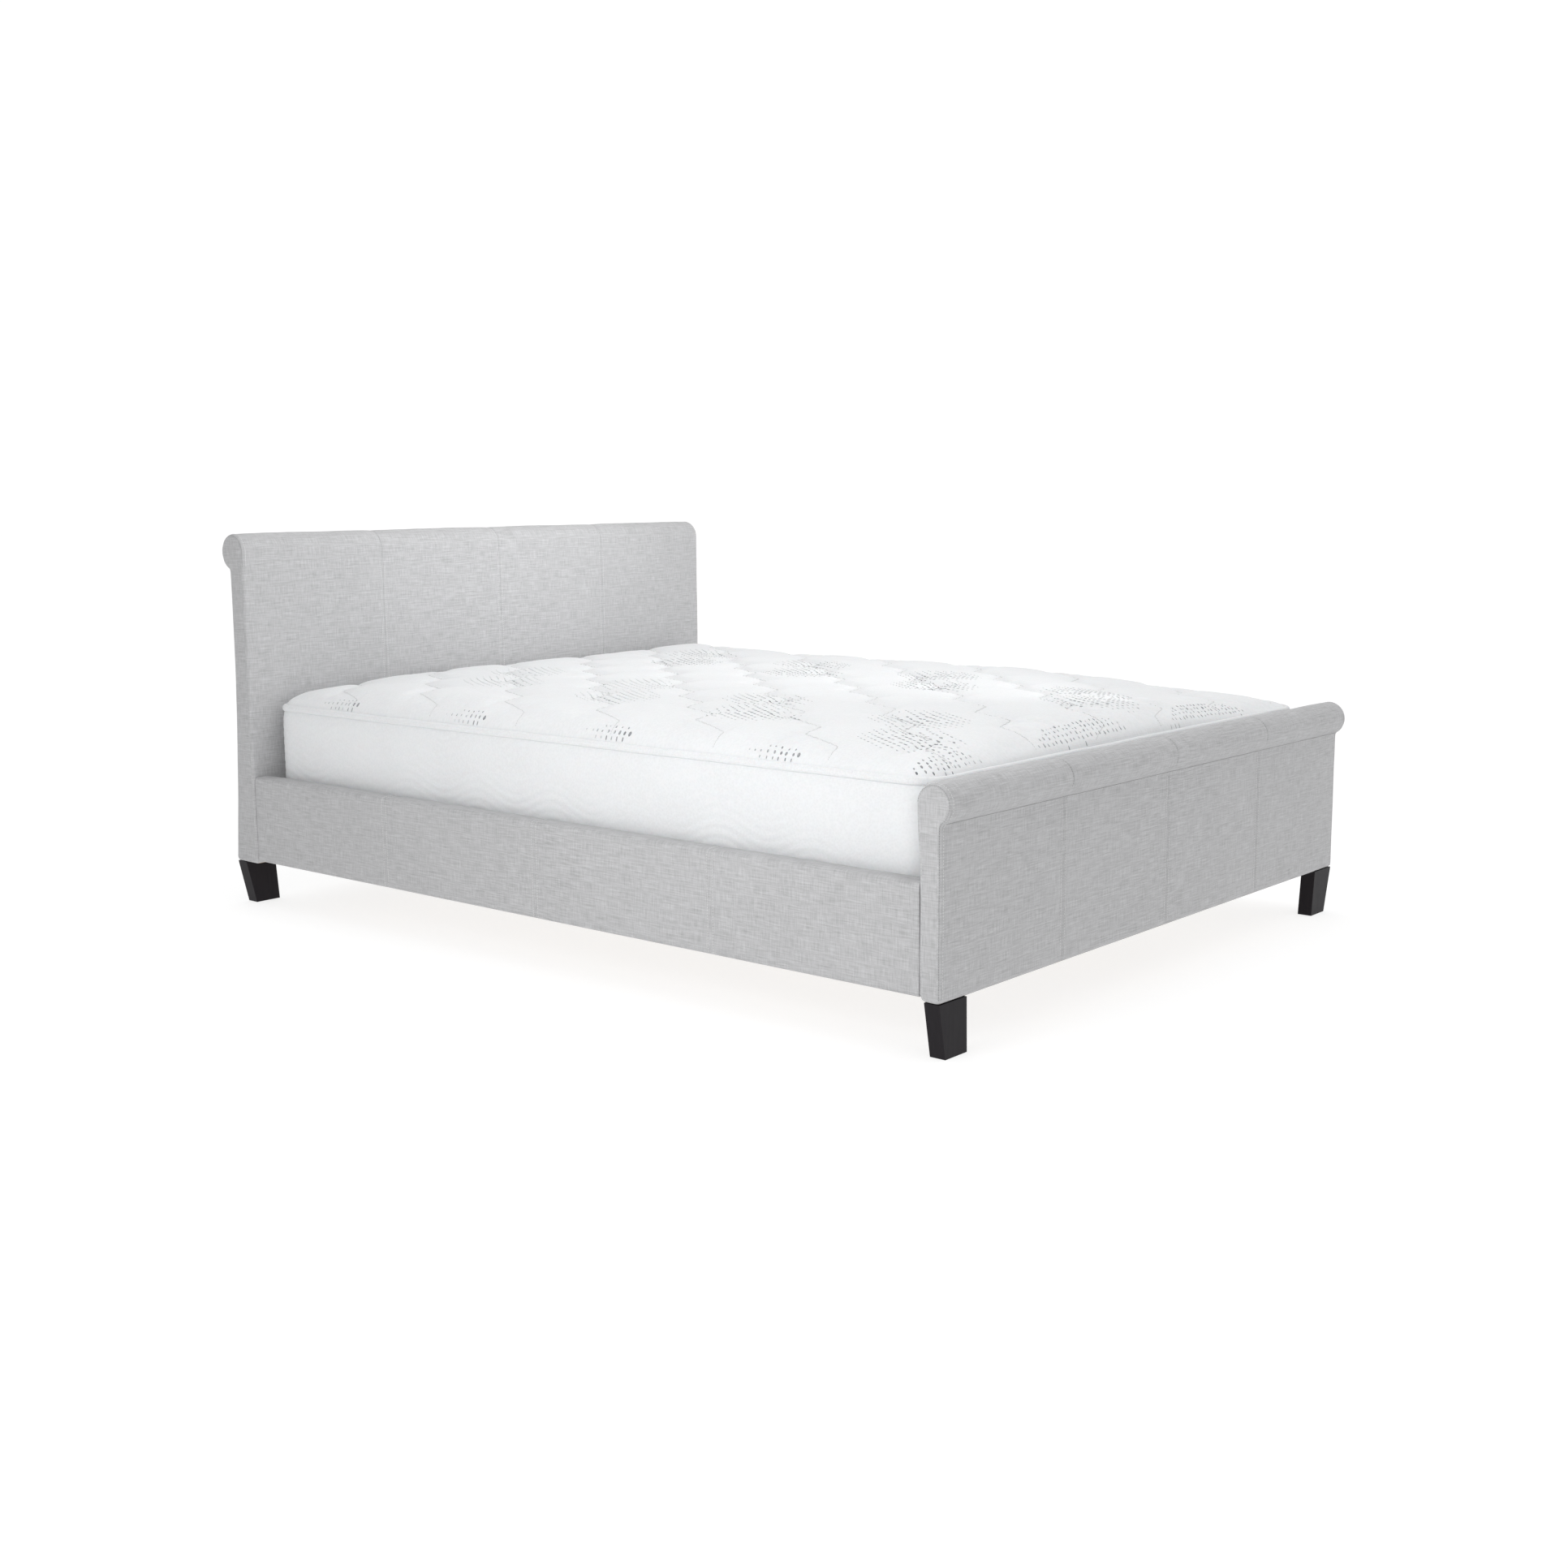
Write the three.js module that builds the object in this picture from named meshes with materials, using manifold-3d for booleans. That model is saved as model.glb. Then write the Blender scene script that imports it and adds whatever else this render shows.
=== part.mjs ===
// King-size upholstered sleigh bed with a sprung slatted base and its mattress.
// Millimetres. X runs across the bed, +Y runs from the foot to the head, +Z is up.
// The origin is on the floor, under the middle of the bed's outline.
import * as THREE from "three";
import { mergeVertices } from "three/addons/utils/BufferGeometryUtils.js";
import Module from "manifold-3d";

const wasm = await Module();
wasm.setup();

// ---- driving dimensions -------------------------------------------------------------------
const overallWidth = 1600;        // head and foot boards, end face to end face
const clearLength = 2015;         // footboard's inner face to headboard's front face
const fitGap = 0.3;               // clearance between pieces that touch
const padding = 8;                // foam and fabric over the timber

const boardBottomZ = 106;         // underside of the head and foot boards, on top of the legs
const railBottomZ = 113;
const railTopZ = 323;
const railThickness = 41;
const railInset = 2;              // rail face behind the boards' end faces

const footThickness = 48;
const footTopZ = 503;
const footRollRadius = 38.5;
const footRollOverhang = 22;      // roll beyond the footboard's outer face
const footBoardThickness = 32;    // timber inside the footboard

const headTopZ = 912;
const headRollRadius = 44;
const headDepth = 88;             // front face to the back of the roll and of the lower edge
const headWaist = 57;             // thickness of the headboard just under its roll

const slatsPerRow = 12;
const slatWidth = 63;
const slatThickness = 8;
const slatBow = 12;               // rise of a sprung slat's middle above its ends
const slatEndZ = 238;             // underside of a slat at its ends

const ledgeSize = 32;
const ledgeTopZ = 234;
const ledgeEndClearance = 70;     // room for the corner brackets
const beamWidth = 50;
const beamHeight = 60;

const mattressWidth = 1496;
const mattressLength = 1982;
const mattressFootClearance = 12;
const mattressEdgeZ = 485;        // top tape edge
const mattressTopZ = 550;

const legSize = 40;
const legOffsetY = 335;           // centre legs either side of the middle
const glideRadius = 18;
const glideHeight = 8;
const glideTravel = 10;           // how far a levelling glide screws in from its resting place
const boltRadius = 4;
const boltHole = boltRadius + fitGap;

// ---- places that follow from them ---------------------------------------------------------
const halfWidth = overallWidth / 2;
const overallLength = footRollOverhang + footThickness + clearLength + headDepth;
const footOuterY = -overallLength / 2 + footRollOverhang;
const footInnerY = footOuterY + footThickness;
const headFrontY = footInnerY + clearLength;
const headBackY = headFrontY + headDepth;
const footRoll = { y: footOuterY - footRollOverhang + footRollRadius, z: footTopZ - footRollRadius };
const headRoll = { y: headFrontY + headRollRadius, z: headTopZ - headRollRadius };
const railOuterX = halfWidth - railInset;
const railInnerX = railOuterX - railThickness;
const slatCrownZ = slatEndZ + slatThickness + slatBow;
const mattressBottomZ = slatCrownZ + 2 * fitGap;
const ledgeFootY = footInnerY + ledgeEndClearance;
const ledgeHeadY = headFrontY - ledgeEndClearance;
const beamBottomZ = ledgeTopZ - beamHeight;

// ---- materials ----------------------------------------------------------------------------
function material(colour, roughness, metalness = 0) {
  return new THREE.MeshStandardMaterial({ color: colour, roughness, metalness });
}
const upholstery = material(0xc6c7ca, 0.95);
const ticking = material(0xf1f2f3, 0.95);
const carcassTimber = material(0xc9ab80, 0.7);
const pine = material(0xd9bd8c, 0.65);
const beech = material(0xdcb98a, 0.5);
const espressoWood = material(0x2b272b, 0.45);
const blackNylon = material(0x1c1c1e, 0.6);
const blackSteel = material(0x26272a, 0.45, 0.6);
const zincSteel = material(0xb8bcc0, 0.35, 0.9);

// ---- shape helpers ------------------------------------------------------------------------
function box(xRange, yRange, zRange) {
  const size = [xRange, yRange, zRange].map(([low, high]) => high - low);
  const middle = [xRange, yRange, zRange].map(([low, high]) => (low + high) / 2);
  return new THREE.BoxGeometry(...size).translate(...middle);
}

// An outline of [y, z] points, extruded from one x to another.
function extrudeAlongX(outline, fromX, toX) {
  const shape = new THREE.Shape(outline.map(([y, z]) => new THREE.Vector2(y, z)));
  const geometry = new THREE.ExtrudeGeometry(shape, { depth: toX - fromX, bevelEnabled: false });
  const turn = new THREE.Matrix4().set(0, 0, 1, fromX, 1, 0, 0, 0, 0, 1, 0, 0, 0, 0, 0, 1);
  return geometry.applyMatrix4(turn);
}

// An outline of [x, z] points, extruded from one y to another.
function extrudeAlongY(outline, fromY, toY) {
  const shape = new THREE.Shape(outline.map(([x, z]) => new THREE.Vector2(z, x)));
  const geometry = new THREE.ExtrudeGeometry(shape, { depth: toY - fromY, bevelEnabled: false });
  const turn = new THREE.Matrix4().set(0, 1, 0, 0, 0, 0, 1, fromY, 1, 0, 0, 0, 0, 0, 0, 1);
  return geometry.applyMatrix4(turn);
}

function cylinderAlong(axis, radius, [low, high], [a, b], sides = 16) {
  const geometry = new THREE.CylinderGeometry(radius, radius, high - low, sides);
  const middle = (low + high) / 2;
  if (axis === "x") return geometry.rotateZ(Math.PI / 2).translate(middle, a, b);
  if (axis === "y") return geometry.translate(a, middle, b);
  return geometry.rotateX(Math.PI / 2).translate(a, b, middle);
}

function arc(centre, radius, fromDegrees, toDegrees, steps) {
  return Array.from({ length: steps + 1 }, (_, i) => {
    const angle = THREE.MathUtils.degToRad(fromDegrees + ((toDegrees - fromDegrees) * i) / steps);
    return [centre.y + radius * Math.cos(angle), centre.z + radius * Math.sin(angle)];
  });
}

function curve(points, steps) {
  const bezier = new THREE.CubicBezierCurve(...points.map(([a, b]) => new THREE.Vector2(a, b)));
  return bezier.getPoints(steps).map((p) => [p.x, p.y]);
}

function toSolid(geometry) {
  const bare = geometry.clone();
  bare.deleteAttribute("normal");
  bare.deleteAttribute("uv");
  const merged = mergeVertices(bare, 1e-4);
  return new wasm.Manifold(new wasm.Mesh({
    numProp: 3,
    vertProperties: new Float32Array(merged.attributes.position.array),
    triVerts: new Uint32Array(merged.index.array),
  }));
}

function toGeometry(solid) {
  const mesh = solid.getMesh();
  const geometry = new THREE.BufferGeometry();
  geometry.setAttribute("position", new THREE.BufferAttribute(mesh.vertProperties, 3));
  geometry.setIndex(new THREE.BufferAttribute(mesh.triVerts, 1));
  return geometry;
}

function joined(...geometries) {
  return toGeometry(geometries.map(toSolid).reduce((whole, piece) => whole.add(piece)));
}

function cut(geometry, ...tools) {
  return toGeometry(tools.map(toSolid).reduce((rest, tool) => rest.subtract(tool), toSolid(geometry)));
}

const bed = new THREE.Group();
function add(name, geometry, slotMaterial) {
  const mesh = new THREE.Mesh(geometry, slotMaterial.clone());
  mesh.name = name;
  bed.add(mesh);
}

const sides = [{ name: "left", sign: -1 }, { name: "right", sign: 1 }];
const ends = [{ name: "foot_end", sign: -1 }, { name: "head_end", sign: 1 }];
const corners = ends.flatMap((end) => sides.map((side) => ({ end, side })));

// An x range given from the bed's outside inwards, on one side of the bed.
function sideRange(side, outer, inner) {
  return side.sign < 0 ? [-outer, -inner] : [inner, outer];
}

// ---- corner bolts and legs: where they go -------------------------------------------------
const boltZ = 200;
const boltFromRail = 34;
const boltX = railInnerX - boltFromRail;
const bracketThickness = 3;
const bracketLeg = 58;
const bracketZ = [150, 250];
const boltReach = 30;             // shank inside the padding and timber
const boltHeadRadius = 7.5;
const boltHeadHeight = 5.3;

function boardFaceY(end) {
  return end.sign < 0 ? footInnerY : headFrontY;
}

function boltHoles(end) {
  const face = boardFaceY(end);
  const span = end.sign < 0 ? [face - boltReach - 2, face + 1] : [face - 1, face + boltReach + 2];
  return sides.map((side) => cylinderAlong("y", boltHole, span, [side.sign * boltX, boltZ], 12));
}

const cornerLeg = {
  topOuterX: halfWidth - 2,
  topWidth: 84,
  topDepth: 34,
  bottomOuterX: halfWidth - 25,
  bottomWidth: 67,
  bottomDepth: 34,
  faceInsetTop: 2.5,
  faceInsetBottom: 5.5,
  studHeight: 30,
};

// The outer face of the board that a leg stands under, and the way into the bed from there.
function legPlace(end) {
  return end.sign < 0 ? { faceY: footOuterY, inward: 1 } : { faceY: headBackY, inward: -1 };
}

function legStudCentre({ end, side }) {
  const { faceY, inward } = legPlace(end);
  const x = side.sign * (cornerLeg.topOuterX - cornerLeg.topWidth / 2);
  return [x, faceY + inward * (cornerLeg.faceInsetTop + cornerLeg.topDepth / 2)];
}

function studHoles(end) {
  const span = [boardBottomZ - 1, boardBottomZ + cornerLeg.studHeight + 2];
  return sides.map((side) => cylinderAlong("z", boltHole, span, legStudCentre({ end, side }), 12));
}

// ---- footboard ----------------------------------------------------------------------------
const rollSteps = 14;
const flatTopZ = railTopZ + 7;    // where the inner face starts to bulge under the roll
const flatPullZ = 380;            // how gently the bulge leaves the flat face
const bulgePullZ = 420;           // and how gently it meets the roll

function footboardOutline() {
  const creaseOffset = footOuterY - footRoll.y;
  const startAngle = 360 - THREE.MathUtils.radToDeg(Math.acos(creaseOffset / footRollRadius));
  const bulgeY = footRoll.y + footRollRadius;
  const bulge = [
    [bulgeY, footRoll.z],
    [bulgeY, bulgePullZ],
    [footInnerY, flatPullZ],
    [footInnerY, flatTopZ],
  ];
  return [
    [footOuterY, boardBottomZ],
    ...arc(footRoll, footRollRadius, startAngle, 0, rollSteps),
    ...curve(bulge, 4).slice(1),
    [footInnerY, boardBottomZ],
  ];
}

function boardEnds(grow = 0) {
  return [-halfWidth + padding - grow, halfWidth - padding + grow];
}

function addFootboard() {
  const boardY = [footOuterY + padding, footOuterY + padding + footBoardThickness];
  const boardTopZ = footRoll.z - 6;
  const coreRadius = footRollRadius - padding;
  const grownY = [boardY[0] - fitGap, boardY[1] + fitGap];
  const slot = box(boardEnds(1), grownY, [boardBottomZ - 5, boardTopZ + fitGap]);
  const board = box(boardEnds(), boardY, [boardBottomZ, boardTopZ]);
  const rollPlace = [footRoll.y, footRoll.z];
  const former = cylinderAlong("x", coreRadius, boardEnds(), rollPlace, 28);
  const formerRoom = cylinderAlong("x", coreRadius + fitGap, boardEnds(fitGap), rollPlace, 28);
  const boardRoom = box(boardEnds(fitGap), grownY, [boardBottomZ - 5, boardTopZ + fitGap]);
  const cover = extrudeAlongX(footboardOutline(), -halfWidth, halfWidth);
  const end = ends[0];
  add("footboard_panel", cut(board, ...boltHoles(end), ...studHoles(end)), carcassTimber);
  add("footboard_roll_former", cut(former, slot), pine);
  add("footboard_cover", cut(cover, formerRoom, boardRoom, ...boltHoles(end)), upholstery);
}

// ---- headboard ----------------------------------------------------------------------------
// The back of the headboard sweeps out towards the floor.
const sweepTopZ = 690;            // straight above here
const sweepPullTopZ = 470;
const sweepPullLowZ = 290;
const sweepPullLean = 15;

function headBackCurve(offset, topZ) {
  const waistY = headFrontY + headWaist + offset;
  const hemY = headBackY + offset;
  const sweep = [
    [waistY, sweepTopZ],
    [waistY, sweepPullTopZ],
    [hemY - sweepPullLean, sweepPullLowZ],
    [hemY, boardBottomZ],
  ];
  return [[waistY, topZ], ...curve(sweep, 6)];
}

function headboardOutline() {
  const waistOffset = headFrontY + headWaist - headRoll.y;
  const endAngle = -THREE.MathUtils.radToDeg(Math.acos(waistOffset / headRollRadius));
  return [
    [headFrontY, boardBottomZ],
    ...arc(headRoll, headRollRadius, 180, endAngle, rollSteps),
    ...headBackCurve(0, headRoll.z).slice(1),
  ];
}

function addHeadboard() {
  const coreRadius = headRollRadius - padding;
  const panelTopZ = headRoll.z - 8;
  const frontY = headFrontY + padding;
  const panelOutline = [[frontY, boardBottomZ], [frontY, panelTopZ], ...headBackCurve(-padding, panelTopZ)];
  const roomOutline = [
    [frontY - fitGap, boardBottomZ - 5],
    [frontY - fitGap, panelTopZ + fitGap],
    ...headBackCurve(fitGap - padding, panelTopZ + fitGap),
    [headBackY - padding + fitGap, boardBottomZ - 5],
  ];
  const panel = extrudeAlongX(panelOutline, ...boardEnds());
  const panelRoom = extrudeAlongX(roomOutline, ...boardEnds(fitGap));
  const rollPlace = [headRoll.y, headRoll.z];
  const former = cylinderAlong("x", coreRadius, boardEnds(), rollPlace, 28);
  const formerRoom = cylinderAlong("x", coreRadius + fitGap, boardEnds(fitGap), rollPlace, 28);
  const cover = extrudeAlongX(headboardOutline(), -halfWidth, halfWidth);
  const end = ends[1];
  add("headboard_panel", cut(panel, ...boltHoles(end), ...studHoles(end)), carcassTimber);
  add("headboard_roll_former", cut(former, panelRoom), pine);
  add("headboard_cover", cut(cover, formerRoom, panelRoom, ...boltHoles(end)), upholstery);
}

// ---- side rails and slat ledges -----------------------------------------------------------
function addSideRails() {
  const railY = [footInnerY + fitGap, headFrontY - fitGap];
  const boardZ = [railBottomZ + padding, railTopZ - padding];
  for (const side of sides) {
    const board = box(sideRange(side, railOuterX - padding, railInnerX + padding), railY, boardZ);
    const room = box(
      sideRange(side, railOuterX - padding + fitGap, railInnerX + padding - fitGap),
      [railY[0] - 1, railY[1] + 1],
      [boardZ[0] - fitGap, boardZ[1] + fitGap],
    );
    const cover = box(sideRange(side, railOuterX, railInnerX), railY, [railBottomZ, railTopZ]);
    const ledgeX = sideRange(side, railInnerX - fitGap, railInnerX - fitGap - ledgeSize);
    const ledge = box(ledgeX, [ledgeFootY, ledgeHeadY], [ledgeTopZ - ledgeSize, ledgeTopZ]);
    add(`side_rail_board_${side.name}`, board, carcassTimber);
    add(`side_rail_cover_${side.name}`, cut(cover, room), upholstery);
    add(`slat_ledge_${side.name}`, ledge, pine);
  }
}

// ---- sprung slats and their holder strips -------------------------------------------------
const holderBase = 3.4;
const holderWall = 3;
const pocketClearance = 1;
const pocketTopZ = 252;
const slatOuterX = railInnerX - fitGap - holderWall;
const centreWeb = 6;
const slatInnerX = centreWeb / 2 + pocketClearance;
const slatPitch = (ledgeHeadY - ledgeFootY - slatWidth - 4 * holderWall) / (slatsPerRow - 1);

function slatCentreY(index) {
  return ledgeFootY + slatWidth / 2 + 2 * holderWall + index * slatPitch;
}

const slatIndices = Array.from({ length: slatsPerRow }, (_, i) => i);

function addSlats() {
  const steps = 8;
  const rise = (t) => slatBow * (1 - (2 * t - 1) ** 2);
  for (const side of sides) {
    const at = (t, z) => [side.sign * (slatInnerX + (slatOuterX - slatInnerX) * t), z + rise(t)];
    const ts = Array.from({ length: steps + 1 }, (_, i) => i / steps);
    const outline = [
      ...ts.map((t) => at(t, slatEndZ)),
      ...ts.reverse().map((t) => at(t, slatEndZ + slatThickness)),
    ];
    for (const i of slatIndices) {
      const y = slatCentreY(i);
      const number = String(i + 1).padStart(2, "0");
      const slat = extrudeAlongY(outline, y - slatWidth / 2, y + slatWidth / 2);
      add(`slat_${side.name}_${number}`, slat, beech);
    }
  }
}

// A moulded strip with one pocket for each slat. slotRanges are the x ranges open to the slats.
function holderStrip(xRange, slotRanges) {
  const baseZ = [ledgeTopZ + fitGap, slatEndZ - fitGap];
  const pieces = [box(xRange, [ledgeFootY, ledgeHeadY], baseZ)];
  const slots = [];
  for (const i of slatIndices) {
    const y = slatCentreY(i);
    const across = (half) => [y - half, y + half];
    const pocketY = across(slatWidth / 2 + pocketClearance + holderWall);
    const slotY = across(slatWidth / 2 + pocketClearance);
    pieces.push(box(xRange, pocketY, [baseZ[1] - 1, pocketTopZ]));
    slotRanges.forEach((range) => slots.push(box(range, slotY, [baseZ[1], pocketTopZ - holderWall])));
  }
  return cut(joined(...pieces), ...slots);
}

function addHolderStrips() {
  const outer = railInnerX - fitGap;
  const inner = outer - ledgeSize;
  const slotOuter = slatOuterX + pocketClearance;
  for (const side of sides) {
    const strip = holderStrip(sideRange(side, outer, inner), [sideRange(side, slotOuter, inner - 1)]);
    add(`slat_holder_strip_${side.name}`, strip, blackNylon);
  }
  const centreHalf = ledgeSize;
  const slots = sides.map((side) => sideRange(side, centreHalf + 1, centreWeb / 2));
  add("slat_holder_strip_centre", holderStrip([-centreHalf, centreHalf], slots), blackNylon);
}

// ---- centre beam, its hangers, legs and levelling glides ----------------------------------
function addCentreBeam() {
  const plate = 2.5;
  const halfBeam = beamWidth / 2;
  const cheekX = halfBeam + fitGap;
  const saddleDepth = 42;
  const beamY = [footInnerY + plate + 2 * fitGap, headFrontY - plate - 2 * fitGap];
  add("centre_beam", box([-halfBeam, halfBeam], beamY, [beamBottomZ, ledgeTopZ]), pine);
  for (const end of ends) {
    const inward = -end.sign;
    const faceY = boardFaceY(end) + inward * fitGap;
    const span = (from, to) => [faceY + inward * from, faceY + inward * to].sort((a, b) => a - b);
    const baseZ = [beamBottomZ - fitGap - plate, beamBottomZ - fitGap];
    const hanger = joined(
      box([-46, 46], span(0, plate), [baseZ[0] - 12, ledgeTopZ]),
      box([-cheekX - plate, cheekX + plate], span(0, saddleDepth), baseZ),
      box([-cheekX - plate, -cheekX], span(0, saddleDepth), [baseZ[0], ledgeTopZ - 10]),
      box([cheekX, cheekX + plate], span(0, saddleDepth), [baseZ[0], ledgeTopZ - 10]),
    );
    add(`centre_beam_hanger_${end.name}`, hanger, blackSteel);
  }
}

function addCentreLegs() {
  const halfLeg = legSize / 2;
  const legX = [-halfLeg, halfLeg];
  const legBottomZ = glideHeight + glideTravel + 2;
  const stemTopZ = 46;
  for (const end of ends) {
    const y = end.sign * legOffsetY;
    const legBlock = box(legX, [y - halfLeg, y + halfLeg], [legBottomZ, beamBottomZ - fitGap]);
    const socket = cylinderAlong("z", boltHole, [legBottomZ - 1, stemTopZ + glideTravel + 4], [0, y], 16);
    const pad = new THREE.LatheGeometry([
      [0, 0],
      [glideRadius - 3, 0],
      [glideRadius, 2.5],
      [glideRadius - 2, glideHeight],
      [boltRadius, glideHeight],
      [boltRadius, stemTopZ],
      [0, stemTopZ],
    ].map(([r, z]) => new THREE.Vector2(r, z)), 20);
    add(`centre_leg_${end.name}`, cut(legBlock, socket), espressoWood);
    add(`levelling_glide_${end.name}`, pad.rotateX(Math.PI / 2).translate(0, y, 0), blackNylon);
  }
}

// ---- corner brackets, bolts and legs ------------------------------------------------------
function addCornerBrackets() {
  for (const { end, side } of corners) {
    const inward = -end.sign;
    const faceY = boardFaceY(end) + inward * fitGap;
    const span = (from, to) => [faceY + inward * from, faceY + inward * to].sort((a, b) => a - b);
    const railX = railInnerX - fitGap;
    const angle = joined(
      box(sideRange(side, railX, railX - bracketLeg), span(0, bracketThickness), bracketZ),
      box(sideRange(side, railX, railX - bracketThickness), span(0, bracketLeg), bracketZ),
    );
    const boltPlace = [side.sign * boltX, boltZ];
    const headFrom = bracketThickness + fitGap;
    const headSpan = span(headFrom, headFrom + boltHeadHeight);
    const shankSpan = span(-boltReach, bracketThickness + 1);
    const hole = cylinderAlong("y", boltHole, span(-1, bracketThickness + 1), boltPlace, 12);
    const bolt = joined(
      cylinderAlong("y", boltRadius, shankSpan, boltPlace, 12),
      cylinderAlong("y", boltHeadRadius, headSpan, boltPlace, 6),
    );
    add(`corner_bracket_${end.name}_${side.name}`, cut(angle, hole), blackSteel);
    add(`corner_bolt_${end.name}_${side.name}`, bolt, zincSteel);
  }
}

function taperedBlock(bottom, top) {
  const block = new THREE.BoxGeometry(1, 1, 1);
  const position = block.attributes.position;
  for (let i = 0; i < position.count; i += 1) {
    const level = position.getZ(i) > 0 ? top : bottom;
    const x = position.getX(i) > 0 ? level.x[1] : level.x[0];
    const y = position.getY(i) > 0 ? level.y[1] : level.y[0];
    position.setXYZ(i, x, y, level.z);
  }
  return block;
}

function addCornerLegs() {
  for (const { end, side } of corners) {
    const { faceY, inward } = legPlace(end);
    const yRange = (inset, depth) => [inset, inset + depth]
      .map((distance) => faceY + inward * distance)
      .sort((a, b) => a - b);
    const bottom = {
      x: sideRange(side, cornerLeg.bottomOuterX, cornerLeg.bottomOuterX - cornerLeg.bottomWidth),
      y: yRange(cornerLeg.faceInsetBottom, cornerLeg.bottomDepth),
      z: 0,
    };
    const top = {
      x: sideRange(side, cornerLeg.topOuterX, cornerLeg.topOuterX - cornerLeg.topWidth),
      y: yRange(cornerLeg.faceInsetTop, cornerLeg.topDepth),
      z: boardBottomZ - fitGap,
    };
    const centre = legStudCentre({ end, side });
    const studZ = [boardBottomZ - 10, boardBottomZ + cornerLeg.studHeight];
    const stud = cylinderAlong("z", boltRadius, studZ, centre, 12);
    add(`corner_leg_${end.name}_${side.name}`, joined(taperedBlock(bottom, top), stud), espressoWood);
  }
}

// ---- mattress -----------------------------------------------------------------------------
function roundedRectangle(width, length, radius, z, stepsPerCorner) {
  const points = [];
  for (let corner = 0; corner < 4; corner += 1) {
    const signX = corner === 0 || corner === 3 ? 1 : -1;
    const signY = corner < 2 ? 1 : -1;
    for (let step = 0; step <= stepsPerCorner; step += 1) {
      const angle = (Math.PI / 2) * (corner + step / stepsPerCorner);
      points.push([
        signX * (width / 2 - radius) + radius * Math.cos(angle),
        signY * (length / 2 - radius) + radius * Math.sin(angle),
        z,
      ]);
    }
  }
  return points;
}

// Rings of points, one above another, closed with a fan at each end.
function loft(rings) {
  const count = rings[0].length;
  const middle = (ring) => [0, 0, ring[0][2]];
  const vertices = [...rings.flat(), middle(rings[0]), middle(rings.at(-1))];
  const bottomCentre = vertices.length - 2;
  const topCentre = vertices.length - 1;
  const lastRing = (rings.length - 1) * count;
  const indices = [];
  for (let i = 0; i < count; i += 1) {
    const next = (i + 1) % count;
    for (let ring = 0; ring < rings.length - 1; ring += 1) {
      const low = ring * count;
      const high = low + count;
      indices.push(low + i, low + next, high + next, low + i, high + next, high + i);
    }
    indices.push(bottomCentre, next, i, topCentre, lastRing + i, lastRing + next);
  }
  const geometry = new THREE.BufferGeometry();
  geometry.setAttribute("position", new THREE.Float32BufferAttribute(vertices.flat(), 3));
  geometry.setIndex(indices);
  return geometry;
}

function addMattress() {
  const cornerRadius = 60;
  const crownHeight = mattressTopZ - mattressEdgeZ;
  const sections = [
    { inset: 8, z: mattressBottomZ },
    { inset: 0, z: mattressBottomZ + 10 },
    { inset: 0, z: mattressEdgeZ },
    { inset: 10, z: mattressEdgeZ + crownHeight * 0.45 },
    { inset: 40, z: mattressEdgeZ + crownHeight * 0.78 },
    { inset: 120, z: mattressTopZ },
  ];
  const rings = sections.map(({ inset, z }) => roundedRectangle(
    mattressWidth - 2 * inset, mattressLength - 2 * inset, cornerRadius, z, 4,
  ));
  const centreY = footInnerY + mattressFootClearance + mattressLength / 2;
  add("mattress", loft(rings).translate(0, centreY, 0), ticking);
}

addFootboard();
addHeadboard();
addSideRails();
addSlats();
addHolderStrips();
addCentreBeam();
addCentreLegs();
addCornerBrackets();
addCornerLegs();
addMattress();

export default bed;
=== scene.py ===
"""Upholstered sleigh bed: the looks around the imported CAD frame, in metres, in the row frame."""
import math
import random

import bmesh
import bpy
import numpy as np
from mathutils import Matrix, Vector, noise
from mathutils.bvhtree import BVHTree


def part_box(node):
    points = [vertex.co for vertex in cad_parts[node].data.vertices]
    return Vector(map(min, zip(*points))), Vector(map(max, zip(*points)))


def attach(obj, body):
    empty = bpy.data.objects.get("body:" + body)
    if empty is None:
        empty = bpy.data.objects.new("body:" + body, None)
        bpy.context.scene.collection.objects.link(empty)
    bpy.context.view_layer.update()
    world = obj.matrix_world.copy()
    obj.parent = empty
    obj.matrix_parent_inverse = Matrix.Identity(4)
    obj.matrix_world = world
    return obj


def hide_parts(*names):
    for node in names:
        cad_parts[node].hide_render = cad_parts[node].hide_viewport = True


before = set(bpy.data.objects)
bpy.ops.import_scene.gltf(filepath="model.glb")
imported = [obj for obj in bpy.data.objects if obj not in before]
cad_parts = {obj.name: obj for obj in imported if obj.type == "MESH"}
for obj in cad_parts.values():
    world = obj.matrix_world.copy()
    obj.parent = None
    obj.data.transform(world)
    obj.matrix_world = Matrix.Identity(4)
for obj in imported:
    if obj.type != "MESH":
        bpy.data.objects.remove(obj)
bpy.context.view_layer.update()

MM = 0.001
SEED = 20


# ---- where the CAD says the parts are ----

head_low, head_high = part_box("headboard_cover")
foot_low, foot_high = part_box("footboard_cover")
rail_low, rail_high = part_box("side_rail_cover_left")
bed_low, bed_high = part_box("mattress")

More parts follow.
